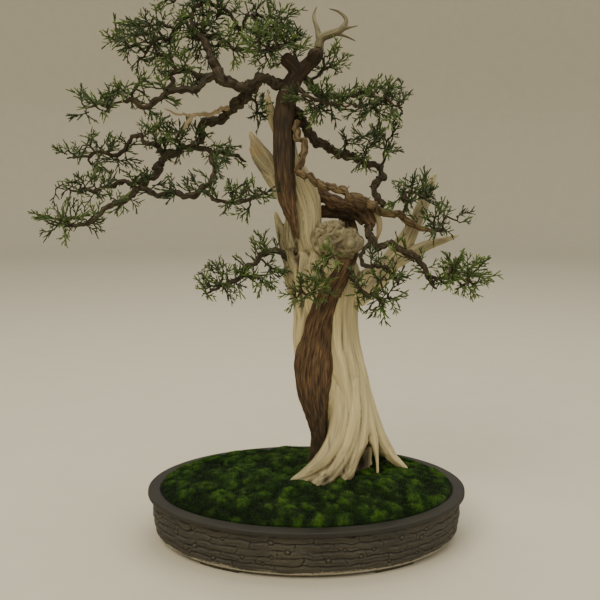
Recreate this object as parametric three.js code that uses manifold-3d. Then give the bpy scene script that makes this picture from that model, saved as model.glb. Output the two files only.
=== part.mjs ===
// Bonsai juniper in an oval stoneware pot.
// Millimetres, +Z up, +X to the viewer's right, +Y away from the viewer.
// Everything is laid out from the middle of the pot on the table plane; the
// whole tree is then shifted so that the origin is the middle of its footprint.

import * as THREE from "three";
import { mergeVertices } from "three/addons/utils/BufferGeometryUtils.js";
import Module from "manifold-3d";

// ---------------------------------------------------------------- dimensions

// Pot: an oval tray with a flat rim, a lip, and four low feet.
const RIM_LENGTH = 400;
const RIM_DEPTH = 274;
const RIM_WIDTH = 16;
const POT_HEIGHT = 62;
const LIP_OVERHANG = 5;
const LIP_THICKNESS = 4;
const FOOT_HEIGHT = 4;
const FLOOR_THICKNESS = 8;
const BASE_SHRINK = 8;
const BASE_DEPTH_FACTOR = 0.95;
const FOOT_INNER_X = 80;
const FOOT_OUTER_X = 127;
const FOOT_BAND = 18;
const DRAIN_RADIUS = 15;
const DRAIN_OFFSET = 80;
const POT_SEGMENTS = 40;
const MOSS_SEGMENTS = 28;
const MOSS_RINGS = 6;

// Drainage screens and the wires that hold them.
const SCREEN_SIZE = 38;
const SCREEN_THICKNESS = 1.2;
const SCREEN_PITCH = 8;
const SCREEN_HOLE = 5.5;
const SCREEN_HOLES_PER_SIDE = 4;
const CLIP_RADIUS = 0.8;
const TIE_RADIUS = 0.9;

// Clearances between touching pieces, and the soil and moss levels.
const GAP = 0.3;
const SOIL_TOP = 57;
const MOSS_EDGE = 60;
const MOSS_RISE = 19;
const MOSS_DOME = 0.4;
const MOSS_LUMP = 1.6;

// Mesh density.
const ROUND_SIDES = 8;
const TRUNK_SIDES = 12;
const TWIG_SIDES = 6;

// Colours, roughness.
const COLOUR = {
  pot: 0x4b463c,
  screen: 0x20221f,
  wire: 0x8a6a48,
  soil: 0x3c2f24,
  moss: 0x24480f,
  deadwood: 0xcdbf9b,
  bark: 0x5b4330,
  dryTwig: 0xa08c6c,
  foliage: 0x2f4f24,
};

// ------------------------------------------------------------------- solids

const wasm = await Module();
wasm.setup();

/** Turns a closed three.js geometry into a manifold solid. */
function solidOf(geometry) {
  geometry.deleteAttribute("normal");
  geometry.deleteAttribute("uv");
  const merged = mergeVertices(geometry, 1e-4);
  return new wasm.Manifold(
    new wasm.Mesh({
      numProp: 3,
      vertProperties: new Float32Array(merged.attributes.position.array),
      triVerts: new Uint32Array(merged.index.array),
    }),
  );
}

/** Turns a manifold solid back into a three.js geometry. */
function geometryOf(solid) {
  const mesh = solid.getMesh();
  const geometry = new THREE.BufferGeometry();
  geometry.setAttribute("position", new THREE.BufferAttribute(mesh.vertProperties, mesh.numProp));
  geometry.setIndex(new THREE.BufferAttribute(mesh.triVerts, 1));
  geometry.computeVertexNormals();
  return geometry;
}

/** Joins a list of overlapping solids into one. */
function join(solids) {
  return solids.reduce((sum, solid) => sum.add(solid));
}

/** Keeps the largest body where a cut has split off small ones. */
function largestOf(solid) {
  const bodies = solid.decompose();
  return bodies.reduce((best, body) => (body.volume() > best.volume() ? body : best));
}

/** Moves every vertex of a geometry through change(vector). */
function reshape(geometry, change) {
  const position = geometry.attributes.position;
  const vertex = new THREE.Vector3();
  for (let i = 0; i < position.count; i += 1) {
    vertex.fromBufferAttribute(position, i);
    change(vertex);
    position.setXYZ(i, vertex.x, vertex.y, vertex.z);
  }
  return geometry;
}

/**
 * A tapering limb: a cylinder bent along a smooth curve.
 * route: [x, y, z, halfWidth, halfDepth] per point; halfDepth lies nearest +Y
 * and is the same as halfWidth when left out. grow thickens it all round.
 */
function limb(route, { sides = ROUND_SIDES, density = 2, grow = 0 } = {}) {
  const steps = (route.length - 1) * density;
  const path = new THREE.CatmullRomCurve3(route.map(([x, y, z]) => new THREE.Vector3(x, y, z)));
  // Rings fall on the route's own points, however unevenly those are spaced.
  path.getUtoTmapping = (share) => share;
  const size = new THREE.CatmullRomCurve3(
    route.map(([, , , wide, deep]) => new THREE.Vector3(wide, deep ?? wide, 0)),
    false,
    "catmullrom",
    0.5,
  );
  const frames = path.computeFrenetFrames(steps, false);
  const depthAxis = new THREE.Vector3(0, 1, 0);
  const turn = Math.atan2(frames.normals[0].dot(depthAxis), frames.binormals[0].dot(depthAxis));
  const geometry = new THREE.CylinderGeometry(1, 1, 1, sides, steps);
  return solidOf(
    reshape(geometry, (vertex) => {
      const along = vertex.y + 0.5;
      const ring = Math.round(along * steps);
      const centre = path.getPoint(ring / steps);
      const half = size.getPoint(ring / steps);
      const normal = frames.normals[ring];
      const binormal = frames.binormals[ring];
      const deepAxis = normal.clone().multiplyScalar(Math.sin(turn));
      deepAxis.addScaledVector(binormal, Math.cos(turn));
      const wideAxis = frames.tangents[ring].clone().cross(deepAxis);
      const endGrow = ring === 0 ? -grow : ring === steps ? grow : 0;
      const wide = vertex.x * (Math.max(half.x, 0.5) + grow);
      const deep = vertex.z * (Math.max(half.y, 0.5) + grow);
      vertex.copy(centre).addScaledVector(wideAxis, wide).addScaledVector(deepAxis, deep);
      vertex.addScaledVector(frames.tangents[ring], endGrow);
    }),
  );
}

/** A leafy mass: a flattened, slightly lumpy ball. */
function tuft(centre, half, grow) {
  const [x0, y0, z0] = centre;
  const geometry = new THREE.IcosahedronGeometry(1, 1);
  geometry.deleteAttribute("normal");
  geometry.deleteAttribute("uv");
  return solidOf(
    reshape(mergeVertices(geometry, 1e-4), (vertex) => {
      const lump = 1 + 0.07 * Math.sin(3 * vertex.x + x0) * Math.cos(3 * vertex.y + z0);
      const sag = vertex.z < 0 ? 0.8 : 1;
      vertex.x = x0 + vertex.x * (half[0] * lump + grow);
      vertex.y = y0 + vertex.y * (half[1] * lump + grow);
      vertex.z = z0 + vertex.z * (half[2] * lump * sag + grow);
    }),
  );
}

/** A solid of revolution about Z, squashed in Y by squash(z). */
function ovalTurning(profile, squash) {
  const points = profile.map(([radius, z]) => new THREE.Vector2(radius, z));
  const geometry = new THREE.LatheGeometry(points, POT_SEGMENTS);
  geometry.rotateX(Math.PI / 2);
  return solidOf(
    reshape(geometry, (vertex) => {
      vertex.y *= squash(vertex.z);
    }),
  );
}

function block(width, depth, height, x, y, z) {
  return solidOf(new THREE.BoxGeometry(width, depth, height).translate(x, y, z));
}

// --------------------------------------------------------------- assembling

const tree = new THREE.Group();
const placed = [];

/**
 * Adds one named piece. It is cut clear of everything placed before it, and
 * its own slightly grown shape then keeps later pieces off it.
 */
function place(name, colour, shape, { cut = true, roughness = 0.85 } = {}) {
  let solid = shape(0);
  if (cut) {
    const box = solid.boundingBox();
    for (const other of placed) {
      const apart = [0, 1, 2].some(
        (axis) => box.min[axis] > other.box.max[axis] || box.max[axis] < other.box.min[axis],
      );
      if (!apart) {
        solid = solid.subtract(other.solid);
      }
    }
  }
  solid = largestOf(solid);
  const keepClear = shape(GAP);
  placed.push({ solid: keepClear, box: keepClear.boundingBox() });
  const material = new THREE.MeshStandardMaterial({ color: colour, roughness, metalness: 0 });
  const mesh = new THREE.Mesh(geometryOf(solid), material);
  mesh.name = name;
  tree.add(mesh);
}

/** Adds a piece made of several limbs grown together. */
function placeLimbs(name, colour, routes, { cut = true, ...options } = {}) {
  const shape = (grow) => join(routes.map((route) => limb(route, { ...options, grow })));
  place(name, colour, shape, { cut });
}

// ---------------------------------------------------------------------- pot

const RIM_SQUASH = RIM_DEPTH / RIM_LENGTH;
const INNER_HALF_LENGTH = RIM_LENGTH / 2 - RIM_WIDTH;
const INNER_SQUASH = (RIM_DEPTH / 2 - RIM_WIDTH) / INNER_HALF_LENGTH;
const WALL_RADIUS = RIM_LENGTH / 2 - LIP_OVERHANG;
const FLOOR_TOP = FOOT_HEIGHT + FLOOR_THICKNESS;

/** How far the wall is squashed in Y: a little more at the base than the rim. */
function wallSquash(z) {
  const rise = THREE.MathUtils.clamp(z / POT_HEIGHT, 0, 1);
  return RIM_SQUASH * THREE.MathUtils.lerp(BASE_DEPTH_FACTOR, 1, rise);
}

function potOuter() {
  const rim = RIM_LENGTH / 2;
  const lipFoot = POT_HEIGHT - LIP_THICKNESS;
  return ovalTurning(
    [
      [0, FOOT_HEIGHT],
      [WALL_RADIUS - BASE_SHRINK, FOOT_HEIGHT],
      [WALL_RADIUS - 2, FOOT_HEIGHT + 7],
      [WALL_RADIUS, POT_HEIGHT / 2],
      [WALL_RADIUS - 1, lipFoot - 2],
      [rim - 1.5, lipFoot],
      [rim, lipFoot + 1.5],
      [rim - 0.5, POT_HEIGHT],
      [0, POT_HEIGHT],
    ],
    wallSquash,
  );
}

function cavity(inset, bottom, top) {
  const radius = INNER_HALF_LENGTH - inset;
  return ovalTurning(
    [
      [0, bottom],
      [radius - 12, bottom],
      [radius - 3, bottom + 4],
      [radius, bottom + 14],
      [radius, top],
      [0, top],
    ],
    () => INNER_SQUASH,
  );
}

/** Four low feet: pieces of an oval band under the edge of the floor. */
function potFeet() {
  const radius = WALL_RADIUS - BASE_SHRINK - 1;
  const squash = wallSquash(FOOT_HEIGHT);
  const oval = (r, low, high) =>
    ovalTurning(
      [
        [0, low],
        [r, low],
        [r, high],
        [0, high],
      ],
      () => squash,
    );
  const band = oval(radius, 0, FOOT_HEIGHT + 1).subtract(oval(radius - FOOT_BAND, -1, POT_HEIGHT));
  const middle = (FOOT_INNER_X + FOOT_OUTER_X) / 2;
  const width = FOOT_OUTER_X - FOOT_INNER_X;
  const slots = [-middle, middle].map((x) => block(width, RIM_DEPTH, POT_HEIGHT, x, 0, 0));
  return band.intersect(join(slots));
}

function drainHole(side, grow) {
  const radius = DRAIN_RADIUS - grow;
  const drill = new THREE.CylinderGeometry(radius, radius, POT_HEIGHT, 24);
  drill.rotateX(Math.PI / 2).translate(side * DRAIN_OFFSET, 0, 0);
  return solidOf(drill);
}

place(
  "pot",
  COLOUR.pot,
  (grow) => {
    const bowl = potOuter().subtract(cavity(grow, FLOOR_TOP + grow, POT_HEIGHT + 2));
    return join([bowl, potFeet()]).subtract(drainHole(-1, grow)).subtract(drainHole(1, grow));
  },
  { cut: false, roughness: 0.8 },
);

// --------------------------------------------------- drainage screens, wires

/** A plastic mesh square with a grid of holes, lying over a drain hole. */
function screen(side, grow) {
  const x = side * DRAIN_OFFSET;
  const z = FLOOR_TOP + GAP + SCREEN_THICKNESS / 2;
  const size = SCREEN_SIZE + 2 * grow;
  const plate = block(size, size, SCREEN_THICKNESS + 2 * grow, x, 0, z);
  if (grow > 0) {
    return plate;
  }
  const first = (-(SCREEN_HOLES_PER_SIDE - 1) / 2) * SCREEN_PITCH;
  const holes = [];
  for (let column = 0; column < SCREEN_HOLES_PER_SIDE; column += 1) {
    for (let row = 0; row < SCREEN_HOLES_PER_SIDE; row += 1) {
      const holeX = x + first + column * SCREEN_PITCH;
      const holeY = first + row * SCREEN_PITCH;
      holes.push(block(SCREEN_HOLE, SCREEN_HOLE, 4 * SCREEN_THICKNESS, holeX, holeY, z));
    }
  }
  return plate.subtract(join(holes));
}

const SCREEN_TOP = FLOOR_TOP + GAP + SCREEN_THICKNESS;
const UNDER_FLOOR = FOOT_HEIGHT - CLIP_RADIUS - 3 * GAP;

/** The staple that clips a screen down: over the screen, down, and outward. */
function clipRoute(side) {
  const x = side * DRAIN_OFFSET;
  const leg = SCREEN_PITCH * 1.5;
  const y = -SCREEN_PITCH / 2;
  const top = SCREEN_TOP + CLIP_RADIUS + GAP;
  const half = [
    [leg + 9, y, UNDER_FLOOR],
    [leg + 4, y, UNDER_FLOOR],
    [leg + 1, y, UNDER_FLOOR + 0.2],
    [leg, y, FOOT_HEIGHT + 1],
    [leg, y, top - 2],
    [leg - 2, y, top],
  ];
  const left = half.map(([dx, dy, z]) => [x - dx, dy, z, CLIP_RADIUS]);
  const right = half.map(([dx, dy, z]) => [x + dx, dy, z, CLIP_RADIUS]).reverse();
  return [...left, ...right];
}

/** The wire that ties the roots down, in at one hole and out at the other. */
function tieRoute() {
  const y = SCREEN_PITCH / 2;
  const inner = DRAIN_OFFSET - SCREEN_PITCH / 2;
  const half = [
    [20, -42, 49],
    [58, -22, 42],
    [inner, y, 30],
    [inner, y, FLOOR_TOP],
    [inner - 2, y, UNDER_FLOOR + 0.6],
    [inner - 7, y, UNDER_FLOOR],
    [inner - 14, y, UNDER_FLOOR],
    [inner - 40, y, UNDER_FLOOR],
  ];
  const left = half.map(([dx, dy, z]) => [-dx, dy, z, TIE_RADIUS]);
  const right = half.map(([dx, dy, z]) => [dx, dy, z, TIE_RADIUS]).reverse();
  return [...left, ...right];
}

const WIRE_OPTIONS = { sides: 5, density: 1 };
for (const [label, side] of [["left", -1], ["right", 1]]) {
  place(`drainage_screen_${label}`, COLOUR.screen, (grow) => screen(side, grow), { cut: false });
  placeLimbs(`screen_clip_${label}`, COLOUR.wire, [clipRoute(side)], { ...WIRE_OPTIONS, cut: false });
}
placeLimbs("root_tie_wire", COLOUR.wire, [tieRoute()], { ...WIRE_OPTIONS, cut: false });

// -------------------------------------------------------------------- trunk

// The living bark: a strip up the front, round the back of the burl, then over
// the upper trunk to the crown.
placeLimbs(
  "live_vein",
  COLOUR.bark,
  [
    [
      [10, 6, 54, 9],
      [9, 2, 85, 8],
      [11, 0, 113, 10, 12],
      [13, -2, 153, 15, 16],
      [9, -2, 192, 22, 19],
      [9, -2, 218, 25, 20],
      [15, -1, 252, 18, 17],
      [21, -1, 283, 16, 16],
      [32, 0, 316, 12],
      [47, 6, 340, 10],
      [56, 24, 363, 10],
      [51, 25, 393, 10],
      [43, 18, 414, 10],
    ],
    [
      [80, -4, 387, 6],
      [71, 2, 403, 8],
      [55, 8, 415, 11],
      [36, 14, 416, 10],
      [14, 18, 426, 10],
      [-6, 16, 441, 10],
      [-22, 6, 463, 11],
    ],
    [
      [-12, -10, 378, 1],
      [-18, -8, 394, 6],
      [-26, -6, 418, 13, 11],
      [-28, -5, 450, 15, 13],
      [-28, -4, 484, 16, 14],
      [-26, -3, 519, 15, 14],
      [-21, 0, 546, 14],
      [-12, 0, 564, 11],
      [1, 0, 576, 9],
      [12, 0, 587, 9],
      [14, 0, 597, 8],
    ],
  ],
  { sides: 10, density: 1 },
);

// The bleached wood: column, flowing sheet above it, roots, burl and stubs.
const BURL_CENTRE = [42, 0, 364];
const BURL_HALF = [28, 24, 28];
const COLUMN = [
  [60, 26, 52, 46, 34],
  [57, 24, 78, 46, 33],
  [54, 22, 112, 43, 33],
  [41, 20, 166, 42, 32],
  [33, 18, 205, 45, 31],
  [25, 16, 248, 43, 30],
  [24, 14, 280, 41, 30],
  [21, 13, 307, 45, 29],
  [18, 12, 337, 47, 27],
  [14, 12, 359, 32, 22],
  [4, 10, 378, 20, 16],
];
const UPPER_SHEET = [
  [8, 8, 350, 24, 18],
  [0, 8, 376, 20, 15],
  [-2, 8, 398, 22, 15],
  [-8, 9, 420, 27, 15],
  [-16, 10, 444, 23, 15],
  [-23, 12, 467, 16, 13],
  [-27, 13, 495, 14, 11],
  [-26, 12, 525, 11, 9],
];
const ROOT_FLARES = [
  [[44, 4, 124, 20], [27, -6, 99, 19], [7, -16, 86, 15], [-12, -24, 78, 10], [-24, -30, 73, 5]],
  [[49, -2, 121, 17], [46, -12, 98, 16], [39, -24, 82, 13], [35, -32, 72, 8]],
  [[76, 22, 156, 10], [92, 20, 118, 11], [106, 20, 96, 9], [120, 20, 81, 6], [131, 18, 72, 3]],
  [[70, 10, 140, 12], [80, -2, 107, 10], [88, -9, 85, 8], [93, -14, 70, 5]],
  [[70, 34, 146, 12], [88, 50, 102, 12], [102, 64, 82, 8], [114, 74, 68, 4]],
  [[38, 34, 146, 12], [22, 50, 102, 12], [6, 62, 82, 8], [-8, 72, 68, 4]],
];
const STUBS = [
  [[-14, 4, 405, 11], [-32, 2, 438, 13, 7], [-46, 0, 461, 12, 5], [-59, -2, 483, 8, 4], [-66, -4, 499, 2]],
  [[-16, 2, 332, 10], [-27, -2, 366, 7], [-32, -4, 387, 6], [-38, -6, 408, 2]],
  [[-32, 10, 492, 6], [-41, 2, 518, 6, 4], [-45, -2, 536, 4], [-46, -4, 549, 1]],
  [[50, 10, 296, 20], [81, 14, 322, 17, 12], [103, 18, 342, 13, 10], [119, 20, 364, 11, 8],
    [133, 22, 390, 8, 6], [146, 24, 420, 7, 5], [159, 26, 453, 2]],
  [[108, 18, 342, 10], [131, 16, 356, 8, 6], [152, 14, 366, 6], [171, 12, 372, 4], [188, 10, 378, 2]],
];
place("deadwood_trunk", COLOUR.deadwood, (grow) =>
  join([
    limb(COLUMN, { sides: TRUNK_SIDES, density: 1, grow }),
    limb(UPPER_SHEET, { sides: 12, density: 1, grow }),
    tuft(BURL_CENTRE, BURL_HALF, grow),
    ...ROOT_FLARES.map((route) => limb(route, { density: 1, grow })),
    ...STUBS.map((route) => limb(route, { density: 1, grow })),
  ]),
);

// The bare forked tip of the tree.
placeLimbs(
  "dead_apex",
  COLOUR.deadwood,
  [
    [[13, 0, 592, 6], [17, 0, 606, 5], [27, -4, 610, 5], [39, -8, 614, 4], [45, -8, 624, 2.5],
      [36, -6, 634, 1.5], [24, -4, 638, 1]],
    [[15, 0, 602, 5], [12, 6, 618, 3], [8, 10, 632, 2], [12, 14, 645, 1]],
    [[39, -8, 614, 3], [49, -12, 616, 1.5], [59, -16, 617, 1]],
    [[31, -4, 611, 3], [44, 2, 609, 1.5], [58, 8, 604, 1]],
  ],
  { sides: TWIG_SIDES, density: 1 },
);

// Roots under the moss, spreading from the foot of the trunk.
const ROOT_TIPS = [
  [150, 34, 26],
  [126, -58, 26],
  [30, -84, 26],
  [-62, -48, 28],
  [-78, 44, 28],
  [10, 88, 26],
  [112, 80, 28],
];
placeLimbs(
  "roots",
  COLOUR.bark,
  ROOT_TIPS.map(([x, y, z]) => [
    [50, 20, 42, 12],
    [THREE.MathUtils.lerp(50, x, 0.35), THREE.MathUtils.lerp(20, y, 0.35), 44, 9],
    [THREE.MathUtils.lerp(50, x, 0.7), THREE.MathUtils.lerp(20, y, 0.7), 36, 6],
    [x, y, z, 2.5],
  ]),
  { sides: TWIG_SIDES, density: 1 },
);

// ----------------------------------------------------------------- branches

// Each branch is a main route with the forks that grow from it.
const BRANCHES = {
  branch_upper_left: [
    [[-22, 0, 552, 7], [-41, -4, 557, 7], [-60, -10, 554, 7], [-78, -14, 551, 7], [-91, -18, 553, 6.5],
      [-102, -20, 562, 6.5], [-107, -18, 576, 5.5], [-113, -14, 590, 5], [-120, -10, 604, 4.5],
      [-130, -4, 615, 3.5], [-143, 2, 627, 2.5]],
  ],
  branch_top_loop: [
    [[-130, -4, 614, 3], [-134, 4, 632, 2.5], [-126, 12, 646, 2.5], [-111, 18, 648, 2.5],
      [-95, 22, 639, 2.5], [-84, 26, 622, 2.5], [-71, 26, 606, 2], [-53, 20, 596, 2]],
  ],
  branch_left_tier: [
    [[-93, -18, 554, 5.5], [-114, -26, 557, 5], [-125, -34, 548, 4.5], [-142, -42, 541, 4.5],
      [-157, -48, 536, 4], [-180, -55, 527, 3.5], [-193, -56, 532, 3], [-208, -56, 528, 2],
      [-225, -54, 517, 1.5]],
    [[-114, -26, 557, 4], [-129, -28, 562, 3.5], [-143, -32, 565, 3.5], [-151, -38, 562, 3.5],
      [-150, -42, 551, 3], [-156, -46, 541, 3]],
  ],
  branch_cascade: [
    [[-52, -6, 552, 6], [-67, 0, 546, 7], [-75, 6, 537, 7], [-89, 14, 529, 7], [-103, 22, 520, 6.5],
      [-119, 30, 515, 6], [-129, 36, 514, 5.5], [-129, 38, 501, 5.5], [-137, 34, 489, 5.5],
      [-154, 26, 480, 5.5], [-175, 10, 467, 5.5], [-181, 4, 458, 5.5], [-178, 0, 450, 5.5],
      [-187, -6, 443, 4.5]],
  ],
  branch_left_low: [
    [[-185, -5, 445, 4.5], [-199, -12, 434, 4.5], [-209, -18, 425, 4], [-222, -26, 417, 3.5],
      [-249, -36, 400, 3], [-261, -40, 395, 2.5], [-280, -44, 392, 1.5]],
  ],
  branch_left_middle: [
    [[-186, -5, 443, 3.5], [-201, 0, 440, 3.5], [-221, 8, 440, 3.5], [-239, 16, 434, 3],
      [-262, 24, 430, 2.5], [-279, 28, 433, 2], [-303, 32, 435, 1]],
  ],
  branch_left_fork: [
    [[-163, 20, 476, 3.5], [-177, 24, 481, 3.5], [-193, 32, 490, 3], [-206, 40, 499, 3],
      [-218, 46, 495, 3], [-227, 48, 483, 3], [-241, 50, 477, 3], [-259, 54, 480, 2.5],
      [-278, 58, 474, 2], [-308, 62, 474, 1]],
  ],
  branch_inner_return: [
    [[-196, -11, 437, 3.5], [-176, -22, 432, 3.5], [-155, -30, 429, 3.5], [-126, -38, 430, 4],
      [-111, -30, 446, 3.5], [-106, -20, 460, 3.5], [-111, -2, 473, 3], [-131, 24, 481, 3]],
    [[-122, -37, 432, 3], [-103, -40, 422, 2.5], [-90, -38, 418, 2.5], [-72, -30, 420, 2.5],
      [-59, -22, 425, 2], [-46, -12, 427, 2]],
  ],
  branch_cascade_right: [
    [[-136, 33, 486, 3.5], [-121, 40, 479, 3.5], [-100, 46, 475, 3], [-87, 48, 472, 3],
      [-76, 48, 464, 1.5]],
  ],
  branch_right_top: [
    [[-13, 4, 560, 5.5], [-1, 8, 562, 5.5], [6, 12, 553, 5], [15, 14, 545, 4.5], [29, 12, 541, 4],
      [62, -2, 542, 3.5], [79, -10, 538, 3], [96, -16, 534, 2.5], [112, -20, 523, 1.5]],
  ],
  branch_right_loop: [
    [[-14, -6, 552, 2.5], [-2, -16, 544, 2.5], [10, -22, 535, 2.5], [26, -26, 529, 2],
      [44, -30, 527, 1.5], [62, -34, 520, 1]],
  ],
  branch_right_upper: [
    [[-18, 2, 528, 5.5], [-4, 10, 512, 5], [3, 16, 498, 5], [14, 22, 489, 5], [29, 28, 481, 4.5],
      [46, 32, 474, 4.5], [68, 34, 466, 4], [84, 32, 460, 4], [93, 28, 449, 4], [86, 22, 439, 4],
      [80, 18, 433, 4], [87, 12, 425, 4], [95, 5, 413, 3.5]],
  ],
  branch_right_twisted: [
    [[-18, -3, 513, 4], [-10, -12, 503, 4], [-11, -16, 494, 3.5], [-5, -18, 483, 3.5],
      [-5, -18, 469, 3.5], [-11, -18, 460, 3.5], [-5, -20, 451, 3.5], [11, -22, 441, 3.5],
      [27, -22, 433, 3.5], [46, -20, 429, 3.5], [63, -14, 423, 4], [78, -6, 413, 4], [94, 0, 407, 4],
      [114, 2, 400, 3.5], [133, -2, 389, 3], [147, -8, 384, 2], [163, -12, 381, 1]],
  ],
  branch_burl_right: [
    [[76, -3, 394, 5], [76, -10, 378, 4.5], [82, -14, 368, 4], [99, -18, 370, 3.5], [112, -22, 363, 3.5],
      [125, -24, 358, 4], [135, -24, 347, 3.5], [147, -24, 333, 3], [154, -26, 318, 1.5]],
    [[77, -12, 374, 3], [68, -18, 362, 2.5], [65, -22, 353, 2.5], [68, -26, 342, 2.5], [79, -30, 345, 2.5],
      [93, -32, 342, 2], [104, -32, 331, 2], [110, -30, 318, 1]],
  ],
  branch_lower_left: [
    [[-18, 2, 344, 5], [-31, -6, 356, 4.5], [-49, -14, 357, 4], [-59, -20, 350, 3.5],
      [-72, -26, 339, 3.5], [-89, -32, 325, 3], [-105, -36, 316, 2], [-124, -40, 307, 1]],
  ],
  branch_front_low: [
    [[20, -8, 342, 3], [18, -24, 327, 2.5], [11, -32, 319, 2.5], [-1, -36, 314, 2], [-12, -38, 316, 1]],
  ],
  branch_front_right: [
    [[48, -8, 334, 3], [59, -22, 321, 2.5], [68, -30, 314, 2.5], [79, -34, 308, 2], [96, -38, 304, 1]],
  ],
};
for (const [name, routes] of Object.entries(BRANCHES)) {
  placeLimbs(name, COLOUR.bark, routes, { sides: TWIG_SIDES, density: 1 });
}
placeLimbs(
  "dead_twig",
  COLOUR.dryTwig,
  [
    [[-92, 14, 527, 3], [-114, 4, 524, 3], [-128, -2, 520, 2.5], [-136, -6, 514, 2.5], [-141, -10, 501, 1.5]],
    [[-132, -4, 517, 2], [-150, -10, 522, 1.5], [-164, -14, 525, 1]],
  ],
  { sides: TWIG_SIDES, density: 1 },
);

// ------------------------------------------------------------ moss and soil

/** Height of the moss cushion above the table at a place in the pot. */
function mossHeight(x, y) {
  const across = x / INNER_HALF_LENGTH;
  const deep = y / (INNER_HALF_LENGTH * INNER_SQUASH);
  const inside = Math.max(0, 1 - across * across - deep * deep);
  const lump = Math.sin(x / 17) * Math.cos(y / 13) + Math.sin((x + 2 * y) / 23);
  return MOSS_EDGE + MOSS_RISE * inside ** MOSS_DOME + MOSS_LUMP * lump * Math.min(1, 4 * inside);
}

function mossCushion() {
  const radius = INNER_HALF_LENGTH - 2 * GAP;
  const profile = [new THREE.Vector2(0, SOIL_TOP + GAP), new THREE.Vector2(radius, SOIL_TOP + GAP)];
  for (let ring = 0; ring <= MOSS_RINGS; ring += 1) {
    profile.push(new THREE.Vector2(radius * Math.cos((ring / MOSS_RINGS) * (Math.PI / 2)), MOSS_EDGE));
  }
  profile[profile.length - 1].x = 0;
  const geometry = new THREE.LatheGeometry(profile, MOSS_SEGMENTS);
  geometry.rotateX(Math.PI / 2);
  return solidOf(
    reshape(geometry, (vertex) => {
      vertex.y *= INNER_SQUASH;
      if (vertex.z >= MOSS_EDGE) {
        vertex.z = mossHeight(vertex.x, vertex.y);
      }
    }),
  );
}

place("moss", COLOUR.moss, mossCushion, { roughness: 1 });
place("soil", COLOUR.soil, () => cavity(2 * GAP, FLOOR_TOP + GAP, SOIL_TOP), { roughness: 1 });

// ------------------------------------------------------------------ foliage

// Centre and half sizes of each leafy mass, held by the branch of its name.
const FOLIAGE = {
  foliage_top_left_outer: [[-181, -10, 602], [47, 42, 34]],
  foliage_top_left_inner: [[-126, 14, 611], [31, 40, 36]],
  foliage_top: [[-129, 10, 657], [66, 42, 15]],
  foliage_crown: [[-40, -8, 596], [44, 46, 24]],
  foliage_crown_top: [[-48, 24, 631], [38, 34, 15]],
  foliage_crown_inner: [[-92, -2, 597], [23, 28, 13]],
  foliage_crown_right: [[28, 6, 579], [20, 22, 14]],
  foliage_tier_inner: [[-143, -32, 576], [29, 28, 15]],
  foliage_tier_middle: [[-185, -54, 542], [35, 34, 15]],
  foliage_tier_tip: [[-231, -56, 522], [32, 32, 18]],
  foliage_cascade_top: [[-160, 26, 493], [41, 36, 24]],
  foliage_near_trunk: [[-58, 14, 520], [19, 20, 23]],
  foliage_left_fork: [[-262, 54, 476], [44, 38, 22]],
  foliage_left_middle: [[-272, 26, 436], [36, 30, 13]],
  foliage_left_tip: [[-274, -44, 397], [31, 34, 17]],
  foliage_inner: [[-74, -34, 423], [34, 28, 20]],
  foliage_right_top_outer: [[85, -12, 531], [44, 36, 24]],
  foliage_right_top_inner: [[13, -16, 533], [31, 32, 17]],
  foliage_right_middle: [[79, 26, 482], [41, 36, 24]],
  foliage_far_right_upper: [[129, -2, 428], [35, 32, 21]],
  foliage_far_right_lower: [[161, -14, 397], [26, 28, 17]],
  foliage_lower_right: [[175, -28, 332], [35, 32, 19]],
  foliage_burl: [[29, -38, 356], [20, 11, 10]],
  foliage_front_low: [[6, -42, 317], [32, 18, 19]],
  foliage_front_right: [[79, -40, 312], [32, 26, 26]],
  foliage_lower_left_outer: [[-100, -36, 323], [32, 30, 22]],
  foliage_lower_left_inner: [[-55, -24, 336], [26, 24, 19]],
};
for (const [name, [centre, half]] of Object.entries(FOLIAGE)) {
  place(name, COLOUR.foliage, (grow) => tuft(centre, half, grow));
}

// ------------------------------------------------------------------- origin

const whole = new THREE.Box3().setFromObject(tree);
const footprint = whole.getCenter(new THREE.Vector3());
tree.position.set(-footprint.x, -footprint.y, -whole.min.z);

const bonsai = new THREE.Group();
bonsai.add(tree);

export default bonsai;
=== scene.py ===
"""Bonsai juniper with bleached wood, growing in an oval stoneware pot.

Lengths in the classes below are millimetres, measured from the middle of the
pot on the plane that the pot stands on. +X is the viewer's right, +Y is away
from the viewer and +Z is up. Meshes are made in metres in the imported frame.
"""

import logging
import math
from collections.abc import Iterable, Sequence
from dataclasses import dataclass, field
from enum import Enum
from functools import partial
from random import Random

import bmesh
import bpy
import numpy as np
from mathutils import Matrix, Vector, kdtree, noise


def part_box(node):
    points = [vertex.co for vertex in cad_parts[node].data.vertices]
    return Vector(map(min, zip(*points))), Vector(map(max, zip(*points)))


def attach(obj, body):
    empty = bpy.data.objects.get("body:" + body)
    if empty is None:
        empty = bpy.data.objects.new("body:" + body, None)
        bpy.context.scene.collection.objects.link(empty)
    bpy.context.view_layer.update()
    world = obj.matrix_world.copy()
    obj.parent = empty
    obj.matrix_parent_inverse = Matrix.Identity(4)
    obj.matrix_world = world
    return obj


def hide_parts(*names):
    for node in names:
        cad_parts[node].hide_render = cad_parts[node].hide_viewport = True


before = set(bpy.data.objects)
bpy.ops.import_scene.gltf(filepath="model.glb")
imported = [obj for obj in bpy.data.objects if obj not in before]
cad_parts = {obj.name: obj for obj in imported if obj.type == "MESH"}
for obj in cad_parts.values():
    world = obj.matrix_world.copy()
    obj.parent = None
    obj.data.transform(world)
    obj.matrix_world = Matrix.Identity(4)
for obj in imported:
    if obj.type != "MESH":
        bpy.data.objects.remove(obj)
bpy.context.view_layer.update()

MM = 0.001
WELD = 1e-6  # metres; closer vertices are merged
SPACING = 3.0  # millimetres between samples along the trunk
BODY = "root"
LOG = logging.getLogger("bonsai")

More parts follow.
